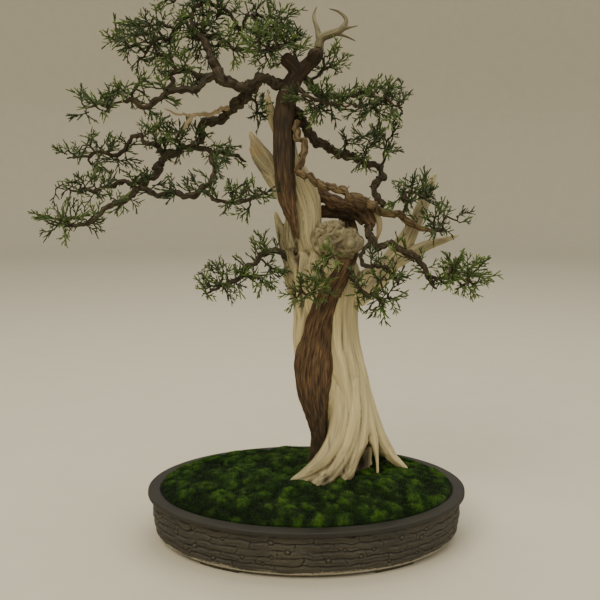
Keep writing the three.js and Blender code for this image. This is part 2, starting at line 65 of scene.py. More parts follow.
Row = Sequence[float]
Colour = tuple[float, float, float, float]


class Slot(Enum):
    """The material slots that the finishes name."""

    STONEWARE = "stoneware"
    SCREEN = "screen_plastic"
    WIRE = "training_wire"
    TRUNK_BARK = "trunk_bark"
    BRANCH_BARK = "branch_bark"
    ROOT_BARK = "root_bark"
    DEADWOOD = "bleached_deadwood"
    MOSS = "moss"
    SOIL = "soil"
    FOLIAGE = "juniper_foliage"


# ------------------------------------------------------------------ measuring


def pot_centre() -> Vector:
    """The middle of the pot on the standing plane, in metres."""
    low, high = (Vector(corner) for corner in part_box("pot"))
    return Vector(((low.x + high.x) / 2, (low.y + high.y) / 2, low.z))


ORIGIN = pot_centre()


def linear(hex_colour: str) -> Colour:
    """Turns an sRGB hex colour into the linear colour that a shader takes.

    Args:
        hex_colour: six hex digits, with or without a leading #.

    Returns:
        Red, green, blue and alpha.
    """
    digits = hex_colour.lstrip("#")
    parts = [int(digits[i : i + 2], 16) / 255 for i in (0, 2, 4)]
    low = [c / 12.92 if c <= 0.04045 else ((c + 0.055) / 1.055) ** 2.4 for c in parts]
    return (*low, 1.0)


def per_metre(millimetres: float) -> float:
    """The texture scale whose features are this many millimetres across."""
    return 1 / (millimetres * MM)


# ----------------------------------------------------------------- mesh tools


def coordinates(mesh: bpy.types.Mesh) -> np.ndarray:
    """Every vertex of a mesh, as an array of n rows of x, y and z.

    Args:
        mesh: the mesh to read.

    Returns:
        Rows of x, y and z, in metres.
    """
    flat = np.empty(len(mesh.vertices) * 3, np.float32)
    mesh.vertices.foreach_get("co", flat)
    return flat.reshape(-1, 3).astype(float)


def set_coordinates(mesh: bpy.types.Mesh, points: np.ndarray) -> None:
    """Moves every vertex of a mesh to its row of points."""
    mesh.vertices.foreach_set("co", points.astype(np.float32).ravel())
    mesh.update()


def vertex_normals(mesh: bpy.types.Mesh) -> np.ndarray:
    """The outward direction at every vertex.

    Args:
        mesh: the mesh to read.

    Returns:
        Rows of x, y and z, each of length 1.
    """
    flat = np.empty(len(mesh.vertices) * 3, np.float32)
    mesh.vertex_normals.foreach_get("vector", flat)
    return flat.reshape(-1, 3).astype(float)


def write_attribute(mesh: bpy.types.Mesh, name: str, values: np.ndarray) -> None:
    """Stores a number or a vector on every vertex, for the materials to read.

    Args:
        mesh: the mesh to store it on.
        name: the attribute's name.
        values: n numbers, or n rows of three.
    """
    vector = values.ndim == 2
    old = mesh.attributes.get(name)
    if old is not None:
        mesh.attributes.remove(old)
    layer = mesh.attributes.new(name, "FLOAT_VECTOR" if vector else "FLOAT", "POINT")
    layer.data.foreach_set("vector" if vector else "value", values.astype(np.float32).ravel())


def edge_ends(mesh: bpy.types.Mesh) -> tuple[np.ndarray, np.ndarray]:
    """The two vertex numbers of every edge, as two arrays.

    Args:
        mesh: the mesh to read.

    Returns:
        The first and the second vertex numbers.
    """
    flat = np.empty(len(mesh.edges) * 2, np.int32)
    mesh.edges.foreach_get("vertices", flat)
    pairs = flat.reshape(-1, 2)
    return pairs[:, 0], pairs[:, 1]


def relaxed(mesh: bpy.types.Mesh, values: np.ndarray, rounds: int) -> np.ndarray:
    """Averages a value over each vertex's neighbours, several times over.

    Args:
        mesh: the mesh whose edges say which vertices are neighbours.
        values: one row per vertex.
        rounds: how many times to average.

    Returns:
        The smoothed values, one row per vertex.
    """
    first, second = edge_ends(mesh)
    count = len(mesh.vertices)
    share = np.bincount(first, minlength=count) + np.bincount(second, minlength=count)
    smooth = values.copy()
    for _ in range(rounds):
        for column in range(values.shape[1]):
            from_second = np.bincount(first, smooth[second, column], count)
            from_first = np.bincount(second, smooth[first, column], count)
            mean = (from_first + from_second) / np.maximum(share, 1)
            smooth[:, column] = 0.4 * smooth[:, column] + 0.6 * mean
    return smooth


def recess(mesh: bpy.types.Mesh, rounds: int, depth: float) -> np.ndarray:
    """How sunken each vertex lies below the surface round it.

    Args:
        mesh: the finished mesh.
        rounds: how wide a neighbourhood to compare with.
        depth: the depth in millimetres that counts as fully sunken.

    Returns:
        One number per vertex: 0 on a ridge, 0.5 on the flat and 1 in a hollow.
    """
    points = coordinates(mesh)
    offset = relaxed(mesh, points, rounds) - points
    below = np.einsum("ij,ij->i", offset, vertex_normals(mesh))
    return np.clip(0.5 + 0.5 * below / (depth * MM), 0, 1)


def ripple(points: np.ndarray, scales: Row, seed: float) -> np.ndarray:
    """Smooth random values at points, stretched to a size along each axis.

    Args:
        points: rows of three, in millimetres.
        scales: the size in millimetres of a feature along each axis.
        seed: moves the pattern, so that two calls differ.

    Returns:
        One number per row, mostly between -1 and 1.
    """
    scaled = points / np.array(scales, float) + seed * 17.31
    return np.array([noise.noise(row) for row in scaled.tolist()])


def mesh_from(bm: bmesh.types.BMesh, name: str) -> bpy.types.Mesh:
    """Turns a bmesh into a mesh and frees it.

    Args:
        bm: the bmesh.
        name: the new mesh's name.

    Returns:
        The mesh.
    """
    mesh = bpy.data.meshes.new(name)
    bm.to_mesh(mesh)
    bm.free()
    return mesh


def append(target: bmesh.types.BMesh, part: bmesh.types.BMesh) -> None:
    """Adds one bmesh's geometry to another and frees the one added.

    Args:
        target: the bmesh to add to.
        part: the bmesh to add.
    """
    mesh = mesh_from(part, "part")
    target.from_mesh(mesh)
    bpy.data.meshes.remove(mesh)


def voxel_mesh(bm: bmesh.types.BMesh, size: float) -> bpy.types.Mesh:
    """Grows overlapping closed shapes into one skin of even squares.

    Args:
        bm: the closed shapes; it is freed.
        size: the width of a square in millimetres.

    Returns:
        A new mesh.
    """
    rough = mesh_from(bm, "rough")
    holder = bpy.data.objects.new("rough", rough)
    bpy.context.scene.collection.objects.link(holder)
    remesh = holder.modifiers.new("Remesh", "REMESH")
    remesh.mode = "VOXEL"
    remesh.voxel_size = size * MM
    shown = holder.evaluated_get(bpy.context.evaluated_depsgraph_get())
    mesh = bpy.data.meshes.new_from_object(shown)
    bpy.data.objects.remove(holder)
    bpy.data.meshes.remove(rough)
    return mesh


def rod(
    bm: bmesh.types.BMesh, start: Vector, end: Vector, radii: tuple[float, float], sides: int
) -> list[bmesh.types.BMVert]:
    """Adds a straight tapered rod between two points.

    Args:
        bm: the bmesh to add to.
        start: its thick end.
        end: its thin end.
        radii: the radius at each end, in the same unit as the points.
        sides: how many sides it has.

    Returns:
        The new vertices.
    """
    run = end - start
    turn = run.to_track_quat("Z", "Y").to_matrix().to_4x4()
    made = bmesh.ops.create_cone(
        bm,
        cap_ends=True,
        segments=sides,
        radius1=radii[0],
        radius2=radii[1],
        depth=run.length,
        matrix=Matrix.Translation((start + end) / 2) @ turn,
    )
    return made["verts"]


class Route:
    """A smooth line through rows of x, y, z, half width and half depth."""

    def __init__(self, rows: Sequence[Row], spacing: float) -> None:
        """Samples the line.

        Args:
            rows: the points; the half depth may be left out where it is the same.
            spacing: the distance between samples.
        """
        table = np.array([(*row[:4], row[4] if len(row) > 4 else row[3]) for row in rows], float)
        knots = np.concatenate(([0], np.cumsum(np.linalg.norm(np.diff(table[:, :3], axis=0), axis=1))))
        slope = np.gradient(table, knots, axis=0)
        count = max(4, int(knots[-1] / spacing) + 1)
        self.along = np.linspace(0, knots[-1], count)
        piece = np.clip(np.searchsorted(knots, self.along, side="right") - 1, 0, len(knots) - 2)
        gap = (knots[piece + 1] - knots[piece])[:, None]
        t = (self.along[:, None] - knots[piece][:, None]) / gap
        sampled = (
            (2 * t**3 - 3 * t**2 + 1) * table[piece]
            + (t**3 - 2 * t**2 + t) * gap * slope[piece]
            + (3 * t**2 - 2 * t**3) * table[piece + 1]
            + (t**3 - t**2) * gap * slope[piece + 1]
        )
        self.centre = sampled[:, :3]
        self.half = np.maximum(sampled[:, 3:], 0.3)
        self.length = float(knots[-1])
        tangent = np.gradient(self.centre, axis=0)
        self.tangent = tangent / np.linalg.norm(tangent, axis=1)[:, None]
        self.deep = np.empty_like(self.tangent)
        axis = np.array((0.0, 1.0, 0.02))
        for k, direction in enumerate(self.tangent):
            axis = axis - direction * (axis @ direction)
            axis = axis / np.linalg.norm(axis)
            self.deep[k] = axis
        self.side = np.cross(self.tangent, self.deep)


@dataclass(frozen=True)
class LimbForm:
    """How a limb's surface departs from a plain round one."""

    knob: float = 0.0
    knob_size: float = 9.0
    flake: float = 0.0
    flake_size: float = 3.0
    ridge: float = 0.0
    ridges: int = 2
    pitch: float = 24.0

    def swell(self, fibre: np.ndarray, angle: np.ndarray, seed: float) -> np.ndarray:
        """The factor on the radius at each vertex.

        Args:
            fibre: rows of side, depth and distance along the limb, in millimetres.
            angle: the angle of each vertex round the limb, in radians.
            seed: moves the random pattern.

        Returns:
            One factor per vertex.
        """
        factor = np.ones(len(fibre))
        if self.knob:
            factor += self.knob * ripple(fibre, (self.knob_size,) * 3, seed)
            factor += 0.8 * self.knob * ripple(fibre, (90, 90, 0.8 * self.knob_size), seed + 7)
        if self.flake:
            size = self.flake_size
            factor += self.flake * ripple(fibre, (size, size, 2.5 * size), seed + 3)
        if self.ridge:
            wander = 0.8 * ripple(fibre, (30, 30, 30), seed + 5)
            turn = self.ridges * angle + 2 * math.pi * fibre[:, 2] / self.pitch + wander
            factor += self.ridge * (np.minimum(1, 2.2 * np.abs(np.sin(turn / 2))) - 0.75)
        return factor


def limb(route: Route, sides: int, form: LimbForm = LimbForm(), seed: float = 0.0) -> bmesh.types.BMesh:
    """A closed, tapering limb: a grid rolled round a route, with rounded ends.

    Args:
        route: the line and sizes in millimetres.
        sides: how many sides go round.
        form: the knobs, flakes and ridges on it.
        seed: moves the random pattern.

    Returns:
        A bmesh in metres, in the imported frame, with a fibre vector on each vertex.
    """
    rings = len(route.centre)
    bm = bmesh.new()
    bmesh.ops.create_grid(bm, x_segments=rings - 1, y_segments=sides, size=0.5)
    flat = np.array([vert.co[:2] for vert in bm.verts])
    flat = (flat - flat.min(axis=0)) / (flat.max(axis=0) - flat.min(axis=0))
    ring = np.rint(flat[:, 0] * (rings - 1)).astype(int)
    angle = flat[:, 1] * 2 * math.pi
    half = route.half[ring]
    side = np.cos(angle) * half[:, 0]
    deep = np.sin(angle) * half[:, 1]
    fibre = np.column_stack((side, deep, route.along[ring]))
    swell = form.swell(fibre, angle, seed)
    nearest_end = np.minimum(route.along, route.length - route.along)[ring]
    inward = 1 - np.minimum(nearest_end / half.mean(axis=1), 1)
    swell *= np.sqrt(np.maximum(1 - inward**2, 0))
    place = (
        route.centre[ring]
        + route.side[ring] * (side * swell)[:, None]
        + route.deep[ring] * (deep * swell)[:, None]
    )
    layer = bm.verts.layers.float_vector.new("fibre")
    world = place * MM + np.array(ORIGIN)
    for vert, spot, grain in zip(bm.verts, world.tolist(), fibre.tolist()):
        vert.co = spot
        vert[layer] = grain
    bmesh.ops.remove_doubles(bm, verts=bm.verts, dist=WELD)
    bmesh.ops.recalc_face_normals(bm, faces=bm.faces)
    return bm


@dataclass(frozen=True)
class Swirl:
    """A knot in the wood, where the grain runs round in rings."""

    centre: Row
    half: Row
    eye: Row
    gain: float = 2.0
    facing: Row = (0.0, -1.0, 0.2)

    def fibre(self, points: np.ndarray) -> tuple[np.ndarray, np.ndarray]:
        """The grain's own coordinates inside the knot.

        Args:
            points: rows of x, y and z in millimetres.

        Returns:
            The fibre vectors, and how deep inside the knot each point is.
        """
        offset = points - np.array(self.eye)
        facing = np.array(self.facing) / np.linalg.norm(self.facing)
        depth = offset @ facing
        across = offset - depth[:, None] * facing
        across += 12 * np.column_stack([ripple(points, (11, 11, 11), k + 2.0) for k in range(3)])
        radius = np.linalg.norm(across, axis=1)
        turn = np.arctan2(across[:, 2], across[:, 0])
        inside = 1 - np.linalg.norm((points - np.array(self.centre)) / np.array(self.half), axis=1)
        return np.column_stack((radius * 0.9, depth * 0.4, turn * 40)), inside


class Grain:
    """The direction in which wood fibres run near a set of routes."""

    def __init__(self, routes: Sequence[Route], swirls: Sequence[Swirl] = ()) -> None:
        """Gathers the samples of every route.

        Args:
            routes: the limbs that the wood is made of.
            swirls: the knots in it.
        """
        self.swirls = swirls
        self.centre = np.vstack([route.centre for route in routes])
        self.side = np.vstack([route.side for route in routes])
        self.deep = np.vstack([route.deep for route in routes])
        self.along = np.concatenate([route.along for route in routes])
        self.number = np.concatenate([np.full(len(r.along), k * 41.0) for k, r in enumerate(routes)])
        self.tree = kdtree.KDTree(len(self.centre))
        for k, spot in enumerate(self.centre.tolist()):
            self.tree.insert(spot, k)
        self.tree.balance()

    def fibre(self, points: np.ndarray) -> tuple[np.ndarray, np.ndarray]:
        """Each point's place in the grain.

        Args:
            points: rows of x, y and z in millimetres.

        Returns:
            Rows of side, depth and distance along the fibres, in millimetres,
            and how much deeper than elsewhere the grooves are at each point.
        """
        near = np.array([self.tree.find(spot)[1] for spot in points.tolist()])
        offset = points - self.centre[near]
        fibre = np.column_stack(
            (
                np.einsum("ij,ij->i", offset, self.side[near]) + self.number[near],
                np.einsum("ij,ij->i", offset, self.deep[near]),
                self.along[near],
            )
        )
        gain = np.ones(len(points))
        for swirl in self.swirls:
            rings, inside = swirl.fibre(points)
            chosen = inside > -0.12
            fibre[chosen] = rings[chosen]
            gain[chosen] = swirl.gain
        return fibre, gain


# ------------------------------------------------------------------- finishes


def add_node(
    tree: bpy.types.NodeTree, kind: str, inputs: dict[str | int, object] | None = None, **settings: object
) -> bpy.types.Node:
    """Adds a shader node, sets it, and links or fills its inputs.

    Args:
        tree: the material's node tree.
        kind: the shader node's type, such as Mix or TexNoise.
        inputs: by socket name or number, either a value or a socket to link from.
        settings: the node's own properties.

    Returns:
        The new node.
    """
    node = tree.nodes.new(f"ShaderNode{kind}")
    for name, value in settings.items():
        setattr(node, name, value)
    for socket, value in (inputs or {}).items():
        if isinstance(value, bpy.types.NodeSocket):
            tree.links.new(value, node.inputs[socket])
        else:
            node.inputs[socket].default_value = value
    return node


class Finish:
    """A surface finish: makes its material once and gives it to each piece."""

    title: str
    slot: Slot

    def nodes(self, tree: bpy.types.NodeTree) -> bpy.types.Node:
        """Builds the shader nodes and returns the surface shader."""
        raise NotImplementedError

    def material(self) -> bpy.types.Material:
        """The material, made the first time it is asked for.

        Returns:
            The material.
        """
        made = bpy.data.materials.get(self.title)
        if made is not None:
            return made
        made = bpy.data.materials.new(self.title)
        made.use_nodes = True
        made.node_tree.nodes.clear()
        shader = self.nodes(made.node_tree)
        add_node(made.node_tree, "OutputMaterial", {"Surface": shader.outputs[0]})
        return made


@dataclass(frozen=True)
class UnglazedStoneware(Finish):
    """Dark stoneware fired without glaze: matt, gritty, pale where limescale dried on it, with painted shade
    in its carved recesses.
    """

    title: str = "Unglazed dark stoneware, pressed and hand carved"
    slot: Slot = Slot.STONEWARE
    clay: str = "#282620"
    raised: str = "#585446"
    # Painted shade: the near-black colour laid into the carved recesses and joints.
    sunken: str = "#12110E"
    limescale: str = "#B3AC9B"
    grit: float = 1.6
    roughness: float = 0.62

    def nodes(self, tree: bpy.types.NodeTree) -> bpy.types.Node:
        """Builds the clay, the high spots lightened as wear and painted highlight, the painted shade in the
        recesses, the limescale and the grit.

        Args:
            tree: the material's node tree.

        Returns:
            The surface shader.
        """
        add = partial(add_node, tree)
        place = add("TexCoord").outputs["Object"]
        sunken = add("Attribute", attribute_name="recess").outputs["Fac"]
        scale = add("Attribute", attribute_name="scale").outputs["Fac"]
        # Kiln clouding, about 45 mm across.
        cloud = add("TexNoise", {"Vector": place, "Scale": per_metre(45), "Detail": 5.0}).outputs["Fac"]
        # Grog in the clay. Real grit is 0.5 mm; it is drawn at 1.6 mm so that it shows.
        grit = add("TexNoise", {"Vector": place, "Scale": per_metre(self.grit), "Detail": 3.0}).outputs["Fac"]
        clouded = add("MapRange", {0: cloud, 1: 0.35, 2: 0.7, 3: 0.0, 4: 0.55}).outputs[0]
        body = add(
            "Mix", {0: clouded, 6: linear(self.clay), 7: linear(self.raised)}, data_type="RGBA"
        ).outputs[2]
        # Wear and painted highlight: the convex edges of the carving are lightened.
        wear_and_highlight = add("MapRange", {0: sunken, 1: 0.45, 2: 0.1, 3: 0.0, 4: 0.8}).outputs[0]
        edges = add("Mix", {0: wear_and_highlight, 6: body, 7: linear(self.raised)}, data_type="RGBA").outputs[2]
        # Painted shade: the recesses and joints darken towards near black.
        deep = add("MapRange", {0: sunken, 1: 0.52, 2: 0.85, 3: 0.0, 4: 0.92}).outputs[0]
        shaded = add("Mix", {0: deep, 6: edges, 7: linear(self.sunken)}, data_type="RGBA").outputs[2]
        speck = add("MapRange", {0: grit, 1: 0.3, 2: 0.72, 3: 0.78, 4: 1.2}).outputs[0]
        speckled = add(
            "Mix", {0: 1.0, 6: shaded, 7: speck}, data_type="RGBA", blend_type="MULTIPLY"
        ).outputs[2]
        patchy = add("Math", {0: scale, 1: grit}, operation="MULTIPLY").outputs[0]
        # Limescale, and on the sharp convex edges also painted highlight.
        limescale_and_highlight = add("MapRange", {0: patchy, 1: 0.27, 2: 0.44, 3: 0.0, 4: 0.85}).outputs[0]
        colour = add("Mix", {0: limescale_and_highlight, 6: speckled, 7: linear(self.limescale)}, data_type="RGBA").outputs[2]
        gloss = add("MapRange", {0: cloud, 1: 0.3, 2: 0.7, 3: self.roughness - 0.08, 4: 0.8}).outputs[0]
        bump = add("Bump", {"Strength": 0.5, "Distance": 0.0005, "Height": grit})
        return add(
            "BsdfPrincipled",
            {"Base Color": colour, "Roughness": gloss, "Normal": bump.outputs[0], "IOR": 1.52},
        )


@dataclass(frozen=True)
class BleachedWood(Finish):
    """Dead juniper heartwood, carved, bleached with lime sulphur and left to the weather."""

    title: str = "Lime-bleached juniper deadwood, weathered"
    slot: Slot = Slot.DEADWOOD
    cream: str = "#DDCE9E"
    grey: str = "#A59D80"
    # Painted shade: the near-black colour of the hollows.
    dark: str = "#2A2015"
    stain: str = "#85663B"
    weather: str = "#746D52"
    # Painted shade: the colour laid into cracks and creases.
    split: str = "#56442A"
    roughness: float = 0.72

    def nodes(self, tree: bpy.types.NodeTree) -> bpy.types.Node:
        """Builds the pale wood, its grey streaks, brown stains, painted shade in its cracks and creases, and
        painted shade in its hollows.

        Args:
            tree: the material's node tree.

        Returns:
            The surface shader.
        """
        add = partial(add_node, tree)
        place = add("TexCoord").outputs["Object"]
        fibre = add("Attribute", attribute_name="fibre").outputs["Vector"]
        sunken = add("Attribute", attribute_name="recess").outputs["Fac"]
        hollow = add("Attribute", attribute_name="hollow").outputs["Fac"]
        stained = add("Attribute", attribute_name="stain").outputs["Fac"]
        shade = add("Attribute", attribute_name="shade").outputs["Fac"]
        # Fibres about 1.5 mm wide and 50 mm long, in the wood's own coordinates.
        strands = add("Mapping", {"Vector": fibre, "Scale": (1 / 1.5, 1 / 1.5, 1 / 50)}).outputs[0]
        streak = add("TexNoise", {"Vector": strands, "Scale": 1.0, "Detail": 3.0}).outputs["Fac"]
        # Wide bands of grey and cream, about 7 mm across.
        bands = add("Mapping", {"Vector": fibre, "Scale": (1 / 7, 1 / 7, 1 / 120)}).outputs[0]
        band = add("TexNoise", {"Vector": bands, "Scale": 1.0, "Detail": 2.0}).outputs["Fac"]
        blotch = add("TexNoise", {"Vector": place, "Scale": per_metre(26), "Detail": 3.0}).outputs["Fac"]
        greyed = add("MapRange", {0: band, 1: 0.42, 2: 0.68, 3: 0.0, 4: 0.75}).outputs[0]
        body = add(
            "Mix", {0: greyed, 6: linear(self.cream), 7: linear(self.grey)}, data_type="RGBA"
        ).outputs[2]
        old = add("Mix", {0: shade, 6: body, 7: linear(self.weather)}, data_type="RGBA").outputs[2]
        # The lines between the fibres darken as the wood ages.
        line = add("MapRange", {0: shade, 3: 0.68, 4: 0.15}).outputs[0]
        tone = add("MapRange", {0: streak, 1: 0.3, 2: 0.7, 3: line, 4: 1.1}).outputs[0]
        lined = add("Mix", {0: 1.0, 6: old, 7: tone}, data_type="RGBA", blend_type="MULTIPLY").outputs[2]
        spots = add("Math", {0: stained, 1: blotch}, operation="MULTIPLY").outputs[0]
        rust = add("MapRange", {0: spots, 1: 0.34, 2: 0.58, 3: 0.0, 4: 0.8}).outputs[0]
        tanned = add("Mix", {0: rust, 6: lined, 7: linear(self.stain)}, data_type="RGBA").outputs[2]
        # Painted shade: cracks and creases darken by how sunken they lie.
        crack = add("MapRange", {0: sunken, 1: 0.57, 2: 0.9, 3: 0.0, 4: 0.9}).outputs[0]
        crease_shaded = add("Mix", {0: crack, 6: tanned, 7: linear(self.split)}, data_type="RGBA").outputs[2]
        # Painted shade: the hollows are darkened towards near black.
        colour = add("Mix", {0: hollow, 6: crease_shaded, 7: linear(self.dark)}, data_type="RGBA").outputs[2]
        bump = add("Bump", {"Strength": 0.55, "Distance": 0.0006, "Height": streak})
        return add(
            "BsdfPrincipled",
            {"Base Color": colour, "Roughness": self.roughness, "Normal": bump.outputs[0], "IOR": 1.5},
        )


@dataclass(frozen=True)
class ShreddingBark(Finish):
    """Living juniper bark: red-brown strips that dry, split and peel lengthwise."""

    title: str = "Juniper bark, peeling in strips"
    slot: Slot = Slot.TRUNK_BARK
    brown: str = "#543F2A"
    pale: str = "#816849"
    dark: str = "#1B130C"
    dark_tone_and_shade: str = "#1F1B12"
    strip: float = 2.2
    strip_length: float = 24.0
    roughness: float = 0.85

    def nodes(self, tree: bpy.types.NodeTree) -> bpy.types.Node:
        """Builds strips, the pale edges that lift, the dark splits, painted shade in the recesses and a
        darker cast where the shade value is high.

        Args:
            tree: the material's node tree.

        Returns:
            The surface shader.
        """
        add = partial(add_node, tree)
        place = add("TexCoord").outputs["Object"]
        fibre = add("Attribute", attribute_name="fibre").outputs["Vector"]
        sunken = add("Attribute", attribute_name="recess").outputs["Fac"]
        shade = add("Attribute", attribute_name="shade").outputs["Fac"]
        across = 1 / self.strip
        strips = add(
            "Mapping", {"Vector": fibre, "Scale": (across, across, 1 / self.strip_length)}
        ).outputs[0]
        strip = add("TexNoise", {"Vector": strips, "Scale": 1.0, "Detail": 4.0}).outputs["Fac"]
        patch = add("TexNoise", {"Vector": place, "Scale": per_metre(18), "Detail": 3.0}).outputs["Fac"]
        lifted = add("MapRange", {0: strip, 1: 0.5, 2: 0.72, 3: 0.0, 4: 0.9}).outputs[0]
        body = add(
            "Mix", {0: lifted, 6: linear(self.brown), 7: linear(self.pale)}, data_type="RGBA"
        ).outputs[2]
        split = add("MapRange", {0: strip, 1: 0.49, 2: 0.34, 3: 0.0, 4: 0.85}).outputs[0]
        torn = add("Mix", {0: split, 6: body, 7: linear(self.dark)}, data_type="RGBA").outputs[2]
        # Painted shade: recesses in the bark darken towards near black.
        deep = add("MapRange", {0: sunken, 1: 0.5, 2: 0.9, 3: 0.0, 4: 0.85}).outputs[0]
        shaded = add("Mix", {0: deep, 6: torn, 7: linear(self.dark)}, data_type="RGBA").outputs[2]
        # A darker cast by the shade value, made uneven by noise: random on the branches, by height on the
        # bark vein, and painted shadow on the vein's limb under the arch.
        damp = add("MapRange", {0: patch, 1: 0.3, 2: 0.7, 3: 0.6, 4: 1.0}).outputs[0]
        cast = add("Math", {0: damp, 1: shade}, operation="MULTIPLY").outputs[0]
        colour = add("Mix", {0: cast, 6: shaded, 7: linear(self.dark_tone_and_shade)}, data_type="RGBA").outputs[2]
        bump = add("Bump", {"Strength": 0.7, "Distance": 0.0009, "Height": strip})
        return add(
            "BsdfPrincipled",
            {"Base Color": colour, "Roughness": self.roughness, "Normal": bump.outputs[0], "IOR": 1.45},
        )


@dataclass(frozen=True)
class BranchBark(ShreddingBark):
    """Thinner juniper bark on the branches: flaky, grey-brown, darker underneath."""

    title: str = "Juniper bark, thin and flaking"
    slot: Slot = Slot.BRANCH_BARK
    brown: str = "#3A3122"
    pale: str = "#62553B"
    dark: str = "#19130D"
    dark_tone_and_shade: str = "#24231A"
    strip: float = 1.6
    strip_length: float = 11.0


@dataclass(frozen=True)
class TanBark(BranchBark):
    """Young twisted bark that has rubbed down to a paler tan."""

    title: str = "Juniper bark, rubbed tan"
    brown: str = "#66543A"
    pale: str = "#93805C"
    dark: str = "#261C11"
    dark_tone_and_shade: str = "#453A24"


@dataclass(frozen=True)
class RootBark(BranchBark):
    """Bark on the roots in the soil: dark, damp and dull."""

    title: str = "Juniper root bark, damp"
    slot: Slot = Slot.ROOT_BARK
    brown: str = "#4E3A28"
    pale: str = "#6E563C"


@dataclass(frozen=True)
class DryTwigBark(BleachedWood):
    """A dead twig that has lost its bark and gone grey-tan."""

    title: str = "Bare dead twig, sun-dried"
    cream: str = "#B5A07C"
    grey: str = "#8E7C60"


@dataclass(frozen=True)
class ScaleFoliage(Finish):
    """Juniper scale leaves: waxy, deep green, yellower at the growing tips."""

    title: str = "Juniper scale leaves, waxy"
    slot: Slot = Slot.FOLIAGE
    shade: str = "#223018"
    leaf: str = "#40582B"
    tip: str = "#839A49"
    scale: float = 1.4
    roughness: float = 0.5

    def nodes(self, tree: bpy.types.NodeTree) -> bpy.types.Node:
        """Builds old growth, new growth and the fine scales.

        Args:
            tree: the material's node tree.

        Returns:
            The surface shader.
        """
        add = partial(add_node, tree)
        place = add("TexCoord").outputs["Object"]
        young = add("Attribute", attribute_name="young").outputs["Fac"]
        tint = add("Attribute", attribute_name="tint").outputs["Fac"]
        # Overlapping scales. Real ones are 1.4 mm long, which is what is drawn.
        scales = add("TexVoronoi", {"Vector": place, "Scale": per_metre(self.scale)}).outputs["Distance"]
        body = add("Mix", {0: tint, 6: linear(self.shade), 7: linear(self.leaf)}, data_type="RGBA").outputs[2]
        fresh = add("Math", {0: young, 1: tint}, operation="MULTIPLY").outputs[0]
        fresher = add("MapRange", {0: fresh, 1: 0.15, 2: 1.0, 3: 0.0, 4: 0.85}).outputs[0]
        tipped = add("Mix", {0: fresher, 6: body, 7: linear(self.tip)}, data_type="RGBA").outputs[2]
        tone = add("MapRange", {0: scales, 1: 0.1, 2: 0.7, 3: 1.12, 4: 0.72}).outputs[0]
        colour = add("Mix", {0: 1.0, 6: tipped, 7: tone}, data_type="RGBA", blend_type="MULTIPLY").outputs[2]
        bump = add("Bump", {"Strength": 0.4, "Distance": 0.0003, "Height": scales})
        return add(
            "BsdfPrincipled",
            {
                "Base Color": colour,
                "Roughness": self.roughness,
                "Normal": bump.outputs[0],
                "IOR": 1.45,
                "Specular IOR Level": 0.4,
            },
        )


@dataclass(frozen=True)
class CushionMoss(Finish):
    """Living cushion moss: velvety, with painted shade in the dips, yellow-green on the shoots and painted
    highlight on the lump tops.
    """

    title: str = "Cushion moss, living"
    slot: Slot = Slot.MOSS
    deep: str = "#0B1A05"
    green: str = "#1F3A0E"
    fresh: str = "#486A20"
    roughness: float = 0.9

    def nodes(self, tree: bpy.types.NodeTree) -> bpy.types.Node:
        """Builds the painted shade in the dips, the green body, the yellow-green shoot tips and the painted
        highlight on the lump tops.

        Args:
            tree: the material's node tree.

        Returns:
            The surface shader.
        """
        add = partial(add_node, tree)
        place = add("TexCoord").outputs["Object"]
        shoot = add("Attribute", attribute_name="shoot").outputs["Fac"]
        lump = add("Attribute", attribute_name="lump").outputs["Fac"]
        patch = add("TexNoise", {"Vector": place, "Scale": per_metre(22), "Detail": 4.0}).outputs["Fac"]
        fuzz = add("TexNoise", {"Vector": place, "Scale": per_metre(2.2), "Detail": 3.0}).outputs["Fac"]
        # Painted shade: the dips between the lumps are near-black green.
        body = add("Mix", {0: lump, 6: linear(self.deep), 7: linear(self.green)}, data_type="RGBA").outputs[2]
        # Painted highlight on the lump tops, added to the young shoot tips.
        high = add("Math", {0: lump, 1: patch}, operation="MULTIPLY").outputs[0]
        young = add("Math", {0: shoot, 1: 0.35, 2: high}, operation="MULTIPLY_ADD").outputs[0]
        tips_and_highlight = add("MapRange", {0: young, 1: 0.3, 2: 0.75, 3: 0.0, 4: 0.9}).outputs[0]
        tipped = add("Mix", {0: tips_and_highlight, 6: body, 7: linear(self.fresh)}, data_type="RGBA").outputs[2]
        tone = add("MapRange", {0: fuzz, 1: 0.3, 2: 0.7, 3: 0.7, 4: 1.25}).outputs[0]
        colour = add("Mix", {0: 1.0, 6: tipped, 7: tone}, data_type="RGBA", blend_type="MULTIPLY").outputs[2]
        bump = add("Bump", {"Strength": 0.5, "Distance": 0.0008, "Height": fuzz})
        return add(
            "BsdfPrincipled",
            {
                "Base Color": colour,
                "Roughness": self.roughness,
                "Normal": bump.outputs[0],
                "Sheen Weight": 0.08,
                "Sheen Roughness": 0.5,
                "Specular IOR Level": 0.08,
            },
        )


